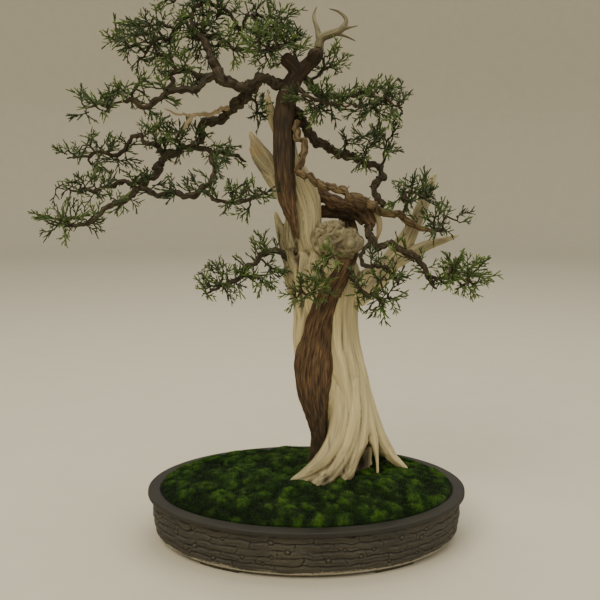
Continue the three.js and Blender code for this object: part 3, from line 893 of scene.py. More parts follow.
@dataclass(frozen=True)
class GrainyMix(Finish):
    """Loose, cast or drawn stuff that is one colour with a grain: soil, plastic or wire."""

    title: str
    slot: Slot
    dark: str
    pale: str
    grain: float
    roughness: float
    metallic: float = 0.0
    depth: float = 0.5

    def nodes(self, tree: bpy.types.NodeTree) -> bpy.types.Node:
        """Builds two tones mixed by grains of one size.

        Args:
            tree: the material's node tree.

        Returns:
            The surface shader.
        """
        add = partial(add_node, tree)
        place = add("TexCoord").outputs["Object"]
        grain = add("TexVoronoi", {"Vector": place, "Scale": per_metre(self.grain)})
        tone = add("MapRange", {0: grain.outputs["Distance"], 1: 0.15, 2: 0.75, 3: 1.0, 4: 0.0}).outputs[0]
        colour = add(
            "Mix", {0: tone, 6: linear(self.dark), 7: linear(self.pale)}, data_type="RGBA"
        ).outputs[2]
        bump = add("Bump", {"Strength": 0.6, "Distance": self.depth * MM, "Height": tone})
        return add(
            "BsdfPrincipled",
            {
                "Base Color": colour,
                "Roughness": self.roughness,
                "Metallic": self.metallic,
                "Normal": bump.outputs[0],
            },
        )


# Akadama and pumice: baked clay granules about 3 mm across.
POTTING_GRIT = GrainyMix(
    "Potting grit, fired clay granules", Slot.SOIL, "#2A1F16", "#6B543C", 3.0, 0.95, 0.0, depth=1.2
)
# Moulded polyethylene mesh: dull, with a slight orange peel.
SCREEN_PLASTIC = GrainyMix(
    "Polyethylene mesh, moulded", Slot.SCREEN, "#151714", "#25282A", 0.9, 0.5, 0.0, depth=0.1
)
# Soft aluminium wire, anodised brown and drawn, with faint drawing marks.
ANODISED_WIRE = GrainyMix(
    "Aluminium wire, drawn and anodised", Slot.WIRE, "#6E4A2C", "#A07048", 0.8, 0.38, 1.0, depth=0.05
)


def set_piece(
    name: str, mesh: bpy.types.Mesh, finish: Finish, nodes: Iterable[str], smooth: bool = True
) -> bpy.types.Object:
    """Makes a finished piece of a mesh: named, dressed, and riding on the tree's body.

    Args:
        name: the piece's name.
        mesh: its mesh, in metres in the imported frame.
        finish: what it is made of.
        nodes: the CAD nodes that it stands for.
        smooth: whether its faces are shaded smooth.

    Returns:
        The new object.
    """
    mesh.name = name
    mesh.materials.clear()
    mesh.materials.append(finish.material())
    mesh.polygons.foreach_set("use_smooth", [smooth] * len(mesh.polygons))
    piece = bpy.data.objects.new(name, mesh)
    bpy.context.scene.collection.objects.link(piece)
    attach(piece, BODY)
    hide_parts(*nodes)
    LOG.info("%s: %d faces in %s", name, len(mesh.polygons), finish.title)
    return piece


# ------------------------------------------------------------------------ pot


@dataclass
class Pot:
    """The oval tray: a smooth rim and lip over a wall carved in rough courses."""

    rim_length: float = 400.0
    rim_depth: float = 274.0
    rim_width: float = 16.0
    height: float = 62.0
    lip_overhang: float = 5.0
    lip_thickness: float = 6.0
    foot: float = 4.0
    floor_top: float = 12.0
    base_shrink: float = 8.0
    base_depth_factor: float = 0.95
    course_low: float = 8.0
    course_height: float = 9.3
    courses: int = 5
    block_length: float = 50.0
    bed_width: float = 2.3
    joint_width: float = 1.5
    sway: float = 3.4
    relief: float = 3.0
    bead_radius: float = 2.6
    plain_above: float = 55.6
    rim_darkening: float = 0.74
    wall_rows: int = 50
    round_steps: int = 1080
    finish: Finish = field(default_factory=UnglazedStoneware)

    def squash(self, z: np.ndarray) -> np.ndarray:
        """How far the wall is squashed front to back at a height."""
        low, rise = self.base_depth_factor, np.clip(z / self.height, 0, 1)
        return self.rim_depth / self.rim_length * (low + (1 - low) * rise)

    def profile(self) -> np.ndarray:
        """The wall's section, as rows of radius, height and how squashed it is.

        Returns:
            A closed loop of rows, from the outer foot up and round to the floor.
        """
        rim = self.rim_length / 2
        wall = rim - self.lip_overhang
        inner = rim - self.rim_width
        inner_squash = (self.rim_depth / 2 - self.rim_width) / inner
        under_lip = self.height - self.lip_thickness
        heights = np.linspace(self.foot + 2, under_lip - 1.2, self.wall_rows)
        radii = [wall - self.base_shrink, wall - 3, wall, wall - 1]
        bulge = np.interp(heights, [4, 11, 31, under_lip], radii)
        rows = [(wall - self.base_shrink - 5, self.foot), (wall - self.base_shrink - 1, self.foot + 0.4)]
        rows += list(zip(bulge, heights))
        rows += [
            (wall - 2.5, under_lip - 0.4),
            (wall - 2.0, under_lip + 0.1),
            (rim - 2.2, under_lip + 0.4),
            (rim - 0.5, under_lip + 0.7),
            (rim, under_lip + 1.4),
            (rim - 0.1, under_lip + 3.6),
            (rim - 0.3, self.height - 0.9),
            (rim - 1.0, self.height - 0.2),
            (rim - 2.2, self.height),
        ]
        outer = [(radius, z, float(self.squash(np.array(z)))) for radius, z in rows]
        inside = [
            (inner + 2.4, self.height),
            (inner + 0.9, self.height - 0.5),
            (inner, self.height - 1.8),
            (inner, 30.0),
            (inner - 3, self.floor_top + 4),
            (inner - 12, self.floor_top),
            (inner - 34, self.floor_top),
            (inner - 34, self.foot + 0.5),
        ]
        return np.array(outer + [(radius, z, inner_squash) for radius, z in inside])

    def girth(self, turn: np.ndarray) -> np.ndarray:
        """The distance round the wall, in millimetres, at an angle in radians.

        Args:
            turn: the angle in radians.

        Returns:
            The distance in millimetres.
        """
        fine = np.linspace(0, 2 * math.pi, 2001)
        radius = self.rim_length / 2 - self.lip_overhang
        ratio = self.rim_depth / self.rim_length
        speed = radius * np.sqrt(np.sin(fine) ** 2 + (ratio * np.cos(fine)) ** 2)
        travelled = np.concatenate(([0], np.cumsum((speed[1:] + speed[:-1]) / 2 * np.diff(fine))))
        return np.interp(turn, fine, travelled)

    def carving(self, around: np.ndarray, z: np.ndarray, length: float) -> np.ndarray:
        """How far the carved wall stands in or out, in millimetres.

        Args:
            around: distance round the wall.
            z: height.
            length: the whole distance round.

        Returns:
            One number per vertex, at most 0.
        """
        blocks = round(length / self.block_length)
        pitch = length / blocks
        phase = around / length * 2 * math.pi
        ring = np.column_stack((np.cos(phase) * length / 6.28, np.sin(phase) * length / 6.28, z))
        sway = self.sway * ripple(ring, (15, 15, 30), 1.0)
        rise = (z + sway - self.course_low) / self.course_height
        course = np.clip(np.floor(rise), 0, self.courses - 1)
        within = np.clip(rise - course, 0, 1)
        shift = 0.5 * (course % 2) + 0.13 * np.sin(course * 5.1)
        jog = 0.16 * ripple(ring, (14, 14, 9), 2.0)
        share = around / pitch + shift + jog
        along = share - np.floor(share)
        to_joint = np.minimum(along, 1 - along) * pitch
        to_bed = np.minimum(within, 1 - within) * self.course_height
        broken = np.clip(0.85 + 1.1 * ripple(ring, (17, 17, 8), 6.0), 0.1, 1)
        depth = -self.relief * broken * (1 - np.clip(to_bed / self.bed_width, 0, 1))
        depth -= 0.7 * self.relief * broken * (1 - np.clip(to_joint / self.joint_width, 0, 1))
        # A second line along each block, long tool marks, and a rough broken face.
        line = np.abs(within - 0.5 - 0.12 * ripple(ring, (24, 24, 30), 7.0)) * self.course_height
        depth -= 1.2 * np.clip(2.4 * ripple(ring, (22, 22, 9), 9.0), 0, 1) * (1 - np.clip(line / 1.4, 0, 1))
        depth -= 0.9 * np.abs(ripple(ring + course[:, None] * 7, (19, 19, 2.4), 3.0))
        depth -= 1.0 * np.abs(ripple(ring, (5, 5, 2.4), 4.0))
        depth -= 1.4 * np.clip(ripple(ring, (11, 11, 6), 5.0), 0, 1)
        # A round bead in a small pit where a joint meets the course above.
        bead_row = np.round(rise)
        is_bed = (bead_row >= 1) & (bead_row <= self.courses - 1)
        bead_share = around / pitch + 0.5 * (bead_row % 2) + 0.13 * np.sin(bead_row * 5.1)
        number = np.round(bead_share)
        drift = 0.16 * np.sin(number * 2.7 + bead_row * 4.1)
        bead_side = (bead_share - number - drift) * pitch
        bead_up = (rise - bead_row) * self.course_height - 1.2 * np.cos(number * 3.3)
        size = self.bead_radius * (0.8 + 0.25 * np.sin(number * 1.9 + bead_row))
        reach = np.hypot(bead_side, bead_up)
        pit = is_bed & (reach < size + 1.3) & (np.sin(number * 5.3 + bead_row * 2.1) > -0.8)
        ball = np.sqrt(np.maximum(size**2 - reach**2, 0))
        depth = np.where(pit, -0.9 * self.relief + 1.1 * ball, depth)
        # The carving fades out into the plain band under the lip.
        top = self.course_low + self.courses * self.course_height
        fade = np.clip((top + 1.5 - z) / 2.5, 0, 1) * np.clip((z - self.foot - 1) / 3, 0, 1)
        return depth * fade

    def shell(self) -> bpy.types.Mesh:
        """The wall, lip and rim: the section spun round the pot and squashed oval.

        Returns:
            A closed mesh with no floor.
        """
        section = self.profile()
        bm = bmesh.new()
        bmesh.ops.create_grid(bm, x_segments=self.round_steps, y_segments=len(section), size=0.5)
        flat = np.array([vert.co[:2] for vert in bm.verts])
        flat = (flat - flat.min(axis=0)) / (flat.max(axis=0) - flat.min(axis=0))
        turn = flat[:, 0] * 2 * math.pi
        row = np.rint(flat[:, 1] * len(section)).astype(int) % len(section)
        radius, z, squash = section[row].T
        length = float(self.girth(np.array(2 * math.pi)))
        carved = (row >= 2) & (row < 2 + self.wall_rows)
        relief = np.zeros(len(radius))
        around = self.girth(turn) % length
        relief[carved] = self.carving(around[carved], z[carved], length)
        wobble = np.column_stack((np.cos(turn) * 180, np.sin(turn) * 120, z))
        relief += np.where(carved, 0, 0.25 * ripple(wobble, (30, 30, 12), 8.0))
        radius = radius + relief
        spots = np.column_stack((radius * np.cos(turn), radius * squash * np.sin(turn), z))
        spots = spots * MM + np.array(ORIGIN)
        for vert, spot in zip(bm.verts, spots.tolist()):
            vert.co = spot
        bmesh.ops.remove_doubles(bm, verts=bm.verts, dist=WELD)
        bmesh.ops.recalc_face_normals(bm, faces=bm.faces)
        return mesh_from(bm, "pot_shell")

    def base(self) -> bmesh.types.BMesh:
        """The floor with its drain holes and feet, cut from the CAD pot.

        Returns:
            The floor and the feet, closed on top.
        """
        bm = bmesh.new()
        bm.from_mesh(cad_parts["pot"].data)
        bmesh.ops.remove_doubles(bm, verts=bm.verts, dist=1e-5)
        cut = ORIGIN + Vector((0, 0, self.floor_top * MM - 1e-4))
        everything = bm.verts[:] + bm.edges[:] + bm.faces[:]
        bmesh.ops.bisect_plane(bm, geom=everything, plane_co=cut, plane_no=(0, 0, 1), clear_outer=True)
        rim = [edge for edge in bm.edges if edge.is_boundary]
        bmesh.ops.holes_fill(bm, edges=rim, sides=0)
        bmesh.ops.translate(bm, verts=bm.verts, vec=-ORIGIN)
        bmesh.ops.scale(bm, verts=bm.verts, vec=(0.985, 0.985, 1))
        bmesh.ops.translate(bm, verts=bm.verts, vec=ORIGIN)
        return bm

    def build(self) -> None:
        """Joins shell and base, and marks the recesses and the limescale, which on the sharp edges is also
        painted highlight.
        """
        shell = self.shell()
        height = (coordinates(shell) - np.array(ORIGIN))[:, 2] / MM
        # The plain rim and lip get one fixed recess value that darkens them, and show no wear.
        sunken = np.where(height > self.plain_above, self.rim_darkening, recess(shell, 5, 0.8))
        low = np.clip((15 - height) / 9, 0, 1)
        spots = (coordinates(shell) - np.array(ORIGIN)) / MM
        drift = np.clip(0.9 + 0.8 * ripple(spots, (30, 30, 9), 9.0), 0, 1.4)
        write_attribute(shell, "recess", sunken)
        # Limescale low on the wall, and on the sharp convex edges, where it is also painted highlight.
        write_attribute(shell, "scale", np.clip(low * drift + 1.1 * np.clip(0.34 - sunken, 0, 1), 0, 1))
        bm = bmesh.new()
        bm.from_mesh(shell)
        append(bm, self.base())
        set_piece("stoneware_pot", mesh_from(bm, "pot"), self.finish, ["pot"])


# ----------------------------------------------------------------------- moss


@dataclass
class MossCushion:
    """The domed cushion of moss, with its lumps and thousands of tiny shoots."""

    half_length: float = 183.4
    half_depth: float = 120.6
    wall_half_length: float = 184.0
    wall_half_depth: float = 121.0
    edge: float = 60.0
    rise: float = 19.0
    dome: float = 0.4
    swell: float = 1.6
    lump_size: float = 19.0
    lump_height: float = 5.2
    shoot: float = 1.9
    across: int = 214
    along: int = 142
    skirt: float = 57.3
    finish: Finish = field(default_factory=CushionMoss)

    def surface(self, x: np.ndarray, y: np.ndarray) -> tuple[np.ndarray, np.ndarray]:
        """The moss's height at places in the pot.

        Args:
            x: distances to the right.
            y: distances away.

        Returns:
            The height, and how far up its lump each place is, from 0 to 1.
        """
        inside = np.maximum(0, 1 - (x / self.wall_half_length) ** 2 - (y / self.wall_half_depth) ** 2)
        wave = np.sin(x / 17) * np.cos(y / 13) + np.sin((x + 2 * y) / 23)
        fade = np.minimum(1, 4 * inside)
        spots = np.column_stack((x, y, np.zeros(len(x))))
        drift = 4 * np.column_stack([ripple(spots, (16, 16, 16), k + 1.0) for k in range(2)])
        moved = (spots[:, :2] + drift) / self.lump_size
        nearest = np.array([noise.voronoi((a, b, 0.0))[0][0] for a, b in moved.tolist()])
        lump = np.clip(1 - 1.35 * nearest**1.3, 0, 1)
        small = 1.3 * ripple(spots, (8, 8, 8), 6.0) + 0.7 * ripple(spots, (4, 4, 4), 7.0)
        height = self.edge + self.rise * inside**self.dome + self.swell * wave * fade
        height += (self.lump_height * (lump - 0.5) + 0.8 * small) * np.minimum(1, 10 * inside + 0.15)
        return height, np.clip(0.8 * lump + 0.35 * small + 0.1, 0, 1)

    def build(self) -> None:
        """Spreads a grid over the oval, raises its lumps, and pokes a shoot from each square."""
        bm = bmesh.new()
        bmesh.ops.create_grid(bm, x_segments=self.across, y_segments=self.along, size=0.5)
        flat = np.array([vert.co[:2] for vert in bm.verts])
        flat = 2 * (flat - flat.min(axis=0)) / (flat.max(axis=0) - flat.min(axis=0)) - 1
        x = self.half_length * flat[:, 0] * np.sqrt(1 - flat[:, 1] ** 2 / 2)
        y = self.half_depth * flat[:, 1] * np.sqrt(1 - flat[:, 0] ** 2 / 2)
        height, lump = self.surface(x, y)
        rng = Random(11)
        shoot = bm.verts.layers.float.new("shoot")
        mound = bm.verts.layers.float.new("lump")
        for vert, a, b, c, raised in zip(bm.verts, x.tolist(), y.tolist(), height.tolist(), lump.tolist()):
            vert.co = ORIGIN + Vector((a, b, c)) * MM
            vert[mound] = raised
        bm.normal_update()
        rim = [edge for edge in bm.edges if edge.is_boundary]
        poked = bmesh.ops.poke(bm, faces=bm.faces[:])["verts"]
        for vert in poked:
            around = [edge.other_vert(vert) for edge in vert.link_edges]
            vert[mound] = sum(other[mound] for other in around) / len(around)
            vert[shoot] = rng.uniform(0.35, 1.0)
            lean = Vector((rng.gauss(0, 0.55), rng.gauss(0, 0.55), 1.0))
            vert.co += lean * (self.shoot * rng.uniform(0.35, 1.0) * MM)
        skirt = bmesh.ops.extrude_edge_only(bm, edges=rim)["geom"]
        lower = [item for item in skirt if isinstance(item, bmesh.types.BMVert)]
        for vert in lower:
            vert.co.z = ORIGIN.z + self.skirt * MM
        edges = [edge for edge in bm.edges if edge.is_boundary]
        bmesh.ops.contextual_create(bm, geom=edges)
        bmesh.ops.recalc_face_normals(bm, faces=bm.faces)
        set_piece("moss_cushion", mesh_from(bm, "moss"), self.finish, ["moss"], smooth=False)


# ------------------------------------------------------------------- deadwood


@dataclass(frozen=True)
class Hollow:
    """A place where the wood is eaten away: centre, half sizes and depth."""

    centre: Row
    half: Row
    depth: float

    def at(self, points: np.ndarray) -> np.ndarray:
        """How much of the hollow reaches each point, from 0 to 1."""
        reach = np.linalg.norm((points - np.array(self.centre)) / np.array(self.half), axis=1)
        return np.clip(1.25 - reach, 0, 1) ** 0.7


@dataclass
class Timber:
    """Solid wood or bark made of limbs grown together and grooved along its grain."""

    name: str
    nodes: tuple[str, ...]
    routes: Sequence[Sequence[Row]]
    finish: Finish
    voxel: float = 1.4
    sides: int = 20
    groove: float = 0.9
    fold: float = 1.6
    groove_size: Row = (2.6, 2.6, 46.0)
    fold_size: Row = (8.0, 8.0, 110.0)
    crack: float = 0.0
    deepest: float = -4.2
    proudest: float = 3.4
    relax: int = 2
    swirls: Sequence[Swirl] = ()
    hollows: Sequence[Hollow] = ()
    stains: Sequence[Hollow] = ()
    weathering_and_shade: Sequence[Hollow] = ()
    seed: float = 0.0

    def limbs(self) -> list[Route]:
        """The lines that the wood grows along."""
        return [Route(rows, SPACING) for rows in self.routes]

    def rough(self) -> bmesh.types.BMesh:
        """The limbs and knots, overlapping, before they are grown together.

        Returns:
            The closed shapes in one bmesh.
        """
        bm = bmesh.new()
        for route in self.limbs():
            append(bm, limb(route, self.sides))
        for swirl in self.swirls:
            size = Matrix.Diagonal((*[half * MM for half in swirl.half], 1))
            spot = Matrix.Translation(ORIGIN + Vector(swirl.centre) * MM)
            bmesh.ops.create_icosphere(bm, subdivisions=4, radius=1, matrix=spot @ size)
        return bm

    def groove_depth(self, fibre: np.ndarray) -> np.ndarray:
        """The folds and grooves along the grain, in millimetres.

        Args:
            fibre: rows of side, depth and distance along the grain.

        Returns:
            One number per row, below 0 in a groove.
        """
        fine = ripple(fibre, self.groove_size, self.seed + 1)
        broad = ripple(fibre, self.fold_size, self.seed + 2)
        depth = self.groove * fine + self.fold * broad
        if self.crack:
            split = ripple(fibre, (7.0, 7.0, 110.0), self.seed + 4)
            where = np.clip(3 * ripple(fibre, (30.0, 30.0, 90.0), self.seed + 6) + 0.4, 0, 1)
            depth -= self.crack * where * np.clip(1 - np.abs(split) / 0.2, 0, 1)
        return depth

    def build(self) -> bpy.types.Object:
        """Grows the limbs together, grooves them, and marks what the finish needs.

        Returns:
            The finished piece.
        """
        mesh = voxel_mesh(self.rough(), self.voxel)
        points = relaxed(mesh, coordinates(mesh), self.relax)
        set_coordinates(mesh, points)
        local = (points - np.array(ORIGIN)) / MM
        fibre, gain = Grain(self.limbs(), self.swirls).fibre(local)
        lift = np.clip(gain * self.groove_depth(fibre), self.deepest, self.proudest)
        lift = relaxed(mesh, lift[:, None], 2)[:, 0]
        sunk = np.zeros(len(local))
        for hollow in self.hollows:
            reach = hollow.at(local)
            lift -= hollow.depth * reach
            sunk = np.maximum(sunk, reach)
        set_coordinates(mesh, points + vertex_normals(mesh) * (lift * MM)[:, None])
        marked = np.zeros(len(local))
        for stain in self.stains:
            marked = np.maximum(marked, stain.depth * stain.at(local))
        write_attribute(mesh, "fibre", fibre)
        write_attribute(mesh, "recess", relaxed(mesh, recess(mesh, 8, 0.8)[:, None], 1)[:, 0])
        # How deep in a hollow each place lies; the bleached wood finish paints shade there.
        write_attribute(mesh, "hollow", np.clip(sunk * 1.3 - 0.25, 0, 1))
        write_attribute(mesh, "stain", marked)
        write_attribute(mesh, "shade", self.shade(local))
        return set_piece(self.name, mesh, self.finish, self.nodes)

    def darkening_by_height(self, height: np.ndarray) -> np.ndarray:
        """How dark the bark is at each height: most in the crown and at the foot."""
        return np.clip((height - 400) / 90, 0, 0.9) + np.clip((205 - height) / 80, 0, 0.85)

    def shade(self, local: np.ndarray) -> np.ndarray:
        """How far each place is darkened, by its height and by the places of weathering and painted shade.

        Args:
            local: rows of x, y and z in millimetres.

        Returns:
            One number per row, from 0 to 1.
        """
        darkness = self.darkening_by_height(local[:, 2])
        for place in self.weathering_and_shade:
            darkness = np.maximum(darkness, place.depth * place.at(local))
        return darkness


COLUMN = (
    (52, 26, 52, 34, 28), (52, 25, 80, 35, 29), (51, 23, 114, 37, 30), (41, 20, 166, 42, 32),
    (33, 18, 205, 45, 31), (25, 16, 248, 43, 30), (24, 14, 280, 41, 30), (21, 13, 307, 45, 29),
    (18, 12, 337, 47, 27), (14, 12, 359, 32, 22), (4, 10, 378, 20, 16),
)
UPPER_SHEET = (
    (8, 8, 350, 24, 18), (0, 8, 376, 20, 15), (-2, 8, 398, 22, 15), (-8, 9, 420, 27, 15),
    (-16, 10, 444, 23, 15), (-23, 12, 467, 16, 13), (-27, 13, 495, 14, 11), (-26, 12, 525, 11, 9),
)
ROOT_FLARES = (
    ((37, 7, 246, 9), (41, 1, 204, 11.5), (43, -4, 152, 13.5), (34, -9, 119, 13), (16, -17, 94, 12))
    + ((-4, -24, 81, 9), (-26, -30, 72, 4)),
    ((50, 8, 240, 9), (55, 2, 200, 10.5), (57, -4, 146, 12.5), (48, -10, 112, 12), (34, -21, 88, 10.5))
    + ((20, -28, 77, 8), (6, -33, 71, 5)),
    ((58, 12, 232, 9), (65, 6, 192, 10), (68, 0, 142, 11), (63, -7, 107, 10.5), (54, -14, 86, 9))
    + ((45, -22, 76, 6.5), (37, -28, 70, 4)),
    ((66, 20, 214, 10), (76, 22, 164, 11.5), (90, 21, 125, 11), (105, 20, 99, 9), (120, 20, 82, 6))
    + ((134, 18, 72, 2.5),),
    ((72, 12, 186, 8), (80, 6, 142, 7.5), (86, 1, 113, 6), (88, -3, 93, 4.5), (89, -7, 76, 3)),
    ((56, 22, 190, 14), (66, 16, 130, 14), (68, 14, 96, 13), (70, 12, 68, 12)),
    ((70, 34, 150, 14), (86, 48, 106, 13), (101, 62, 84, 8), (114, 74, 68, 3.5)),
    ((36, 34, 150, 14), (28, 48, 106, 12), (18, 58, 84, 8), (8, 68, 68, 3.5)),
    ((54, 38, 150, 14), (54, 54, 100, 12), (56, 66, 80, 7), (60, 74, 68, 3)),
    ((28, 16, 140, 12), (20, 14, 98, 10), (15, 12, 70, 8)),
)
JINS = (
    (
        (-14, 4, 405, 11, 9), (-32, 2, 438, 13, 6), (-46, 0, 461, 12, 4.5), (-59, -2, 483, 8, 3.5),
        (-68, -4, 503, 1.5),
    ),
    ((-34, 2, 446, 10, 5), (-52, -1, 462, 8, 4), (-62, -2, 474, 5, 3), (-68, -4, 484, 1.2)),
    ((-16, 2, 332, 10), (-27, -2, 366, 7, 6), (-32, -4, 387, 6, 4), (-38, -6, 408, 1.5)),
    ((-20, -4, 360, 8), (-22, -6, 384, 5), (-21, -7, 404, 4), (-24, -8, 424, 1.2)),
    ((-32, 10, 492, 6), (-41, 2, 518, 6, 4), (-45, -2, 536, 4, 2.5), (-46, -4, 549, 0.8)),
    (
        (50, 10, 296, 20), (81, 14, 322, 17, 12), (103, 18, 342, 13, 10), (119, 20, 364, 11, 8),
        (133, 22, 390, 8, 6), (146, 24, 420, 7, 5), (159, 26, 453, 2),
    ),
    ((108, 18, 342, 10), (131, 16, 356, 8, 6), (152, 14, 366, 6), (171, 12, 372, 4), (188, 10, 378, 1.5)),
    ((70, 4, 412, 5), (81, 0, 405, 5, 3), (88, -1, 392, 4.5, 3), (87, -2, 380, 3.5, 2), (84, -2, 369, 1)),
)


@dataclass
class DeadTrunk(Timber):
    """The bleached trunk: a core ringed by flowing cords of wood, roots and jins."""

    cords: Row = (-70, -42, -10, 24, 62, 100, 138, 174, 212)
    cord_half: float = 0.4
    twist: float = 26.0
    core: float = 0.93

    def darkening_by_height(self, height: np.ndarray) -> np.ndarray:
        """How grey the wood has turned with the weather at each height."""
        return np.clip((height - 300) / 160, 0, 0.35)

    def limbs(self) -> list[Route]:
        """The core, the cords round it, then the upper sheet, roots and jins.

        Returns:
            The routes, thickest first.
        """
        shrunk = [(x, y, z, wide * self.core, deep * self.core) for x, y, z, wide, deep in COLUMN]
        routes = [Route(shrunk, SPACING)]
        lowest, highest = COLUMN[0][2], COLUMN[-1][2]
        for k, bearing in enumerate(self.cords):
            rows = []
            for x, y, z, wide, deep in COLUMN[:-1]:
                rise = (z - lowest) / (highest - lowest)
                turn = math.radians(bearing + self.twist * (rise - 0.5) + 5 * math.sin(6 * rise + k))
                half = self.cord_half * min(wide, 36) * (1 - 0.25 * rise) * (0.9 + 0.2 * math.sin(2.3 * k))
                reach = 0.99 - half / wide
                rows.append((x + math.cos(turn) * wide * reach, y + math.sin(turn) * deep * reach, z, half))
            routes.append(Route(rows, SPACING))
        sheet = [(x, y, z, wide * self.core, deep * self.core) for x, y, z, wide, deep in UPPER_SHEET]
        routes.append(Route(sheet, SPACING))
        for k, share in enumerate((-0.8, -0.35, 0.12, 0.6, 0.95)):
            rows = [
                (x + share * wide * 0.72, y - deep * (0.62 - 0.3 * abs(share)), z, 4.2 - 0.25 * k)
                for x, y, z, wide, deep in UPPER_SHEET
            ]
            routes.append(Route(rows, SPACING))
        return routes + [Route(rows, SPACING) for rows in ROOT_FLARES + JINS]


def dead_trunk() -> DeadTrunk:
    """The trunk's deadwood, with its burl, hollows and stained shard."""
    return DeadTrunk(
        name="deadwood_trunk_carved",
        nodes=("deadwood_trunk",),
        routes=(),
        finish=BleachedWood(),
        voxel=1.5,
        groove=0.65,
        fold=1.5,
        fold_size=(11.0, 11.0, 150.0),
        crack=2.0,
        swirls=(Swirl((39, -2, 372), (29, 20, 25), (60, -10, 358), 5.5),),
        hollows=(
            Hollow((-12, -14, 352), (2.6, 14, 24), 3.5),
            Hollow((-20, -6, 290), (6, 22, 24), 5),
            Hollow((-7, -14, 296), (3.5, 12, 24), 4),
            Hollow((73, 4, 88), (16, 26, 26), 6),
            Hollow((97, 10, 82), (6, 14, 12), 5),
            Hollow((-16, -32, 74), (9, 8, 4), 3),
            Hollow((24, -30, 80), (5, 9, 7), 3.5),
            Hollow((46, -16, 96), (2.5, 9, 16), 3),
            Hollow((28, -14, 112), (2.5, 9, 18), 2.5),
            Hollow((52, -4, 394), (11, 22, 5), 5),
        ),
        weathering_and_shade=(
            Hollow((39, -4, 372), (36, 34, 34), 1.0),
            Hollow((-26, -4, 372), (18, 24, 50), 0.8),
            Hollow((110, 18, 356), (40, 30, 36), 0.3),
            Hollow((-52, 0, 478), (24, 14, 50), 0.8),
            Hollow((20, -30, 84), (64, 40, 32), 0.4),
        ),
        stains=(
            Hollow((-60, -2, 488), (24, 18, 26), 0.85),
            Hollow((-44, 0, 540), (10, 10, 18), 1.0),
            Hollow((88, 4, 330), (26, 30, 30), 0.7),
            Hollow((-24, 0, 372), (20, 20, 50), 0.75),
            Hollow((80, 0, 372), (26, 20, 34), 0.9),
        ),
    )


def bark_vein() -> Timber:
    """The living vein: bark up the front, behind the burl and on to the crown."""
    return Timber(
        name="live_bark_vein",
        nodes=("live_vein",),
        routes=(
            (
                (2, -4, 62, 4), (5, -3, 84, 4.5, 6), (10, -3, 102, 7, 8), (15, -4, 122, 9, 12),
                (14, -4, 153, 15, 16), (9, -4, 192, 22.5, 19), (9, -4, 218, 25, 20),
                (14, -5, 252, 21, 18), (20, -7, 283, 17, 16), (31, -11, 314, 13.5, 13),
                (44, -9, 338, 11, 11), (56, 24, 363, 10), (51, 25, 393, 10), (43, 18, 414, 10),
            ),
            (
                (80, -4, 387, 5), (71, 2, 403, 8.5), (63, 5, 409, 6.5), (54, 8, 413, 10.5),
                (44, 11, 414, 7), (34, 14, 417, 10.5), (24, 16, 422, 7.5), (12, 18, 427, 10.5),
                (2, 17, 434, 7.5), (-8, 15, 442, 10), (-22, 6, 463, 11),
            ),
            (
                (-9, -12, 372, 0.8), (-15, -10, 391, 5), (-22, -8, 416, 10, 9), (-26, -7, 450, 12.5, 12),
                (-27, -5, 484, 13, 12), (-26, -3, 519, 12.5, 12), (-21, 0, 546, 12), (-12, 0, 564, 9.5),
                (1, 0, 576, 8), (12, 0, 587, 7.5), (14, 0, 597, 7),
            ),
            ((-10, 2, 566, 9), (-17, -3, 576, 8.5), (-25, -6, 582, 8.5), (-30, -8, 584, 7)),
            ((4, -2, 578, 7), (10, -6, 588, 8), (14, -7, 594, 7)),
            # A limb filling the gap under the arch, behind the burl, made dark as painted shadow.
            ((8, 22, 404, 6), (24, 22, 405, 8), (36, 20, 402, 5))
            + ((50, 15, 404, 8), (60, 11, 400, 5), (72, 4, 392, 6)),
        ),
        # Painted shadow: the limb under the arch is darkened towards near black.
        weathering_and_shade=(Hollow((46, 8, 401), (34, 24, 11), 1.0),),
        finish=ShreddingBark(),
        voxel=1.15,
        sides=18,
        groove=1.5,
        fold=0.9,
        groove_size=(1.9, 1.9, 15.0),
        fold_size=(7.0, 7.0, 60.0),
        crack=1.6,
        relax=1,
        hollows=(Hollow((27, -14, 158), (3, 14, 40), 3.5),),
        seed=5.0,
    )


def dead_apex() -> Timber:
    """The bare forked tip."""
    return Timber(
        name="dead_apex_jin",
        nodes=("dead_apex",),
        routes=(
            (
                (13, 0, 592, 6), (17, 0, 606, 5), (27, -4, 610, 5), (39, -8, 614, 4), (45, -8, 624, 2.5),
                (36, -6, 634, 1.5), (24, -4, 638, 0.8),
            ),
            ((15, 0, 602, 5), (12, 6, 618, 3), (8, 10, 632, 2), (12, 14, 645, 0.8)),
            ((39, -8, 614, 3), (49, -12, 616, 1.6), (59, -16, 617, 0.8)),
            ((31, -4, 611, 3), (44, 2, 609, 1.6), (58, 8, 604, 0.8)),
        ),
        finish=BleachedWood(),
        voxel=0.6,
        sides=12,
        groove=0.35,
        fold=0.4,
        groove_size=(1.6, 1.6, 20.0),
        fold_size=(4.0, 4.0, 30.0),
        relax=1,
        stains=(Hollow((16, 0, 600), (14, 14, 14), 0.55),),
        seed=8.0,
    )


# ------------------------------------------------------------------- branches


class Habit(Enum):
    """How a branch's bark is shaped."""

    GNARLED = LimbForm(knob=0.46, knob_size=6.0, flake=0.4, flake_size=2.2)
    KNOTTED = LimbForm(knob=0.35, knob_size=6.0, flake=0.2, ridge=0.42, ridges=1, pitch=12.0)
    TWISTED = LimbForm(knob=0.2, knob_size=7.0, flake=0.2, ridge=0.62, ridges=1, pitch=15.0)
    SLENDER = LimbForm(knob=0.42, knob_size=5.0, flake=0.3, flake_size=2.2)


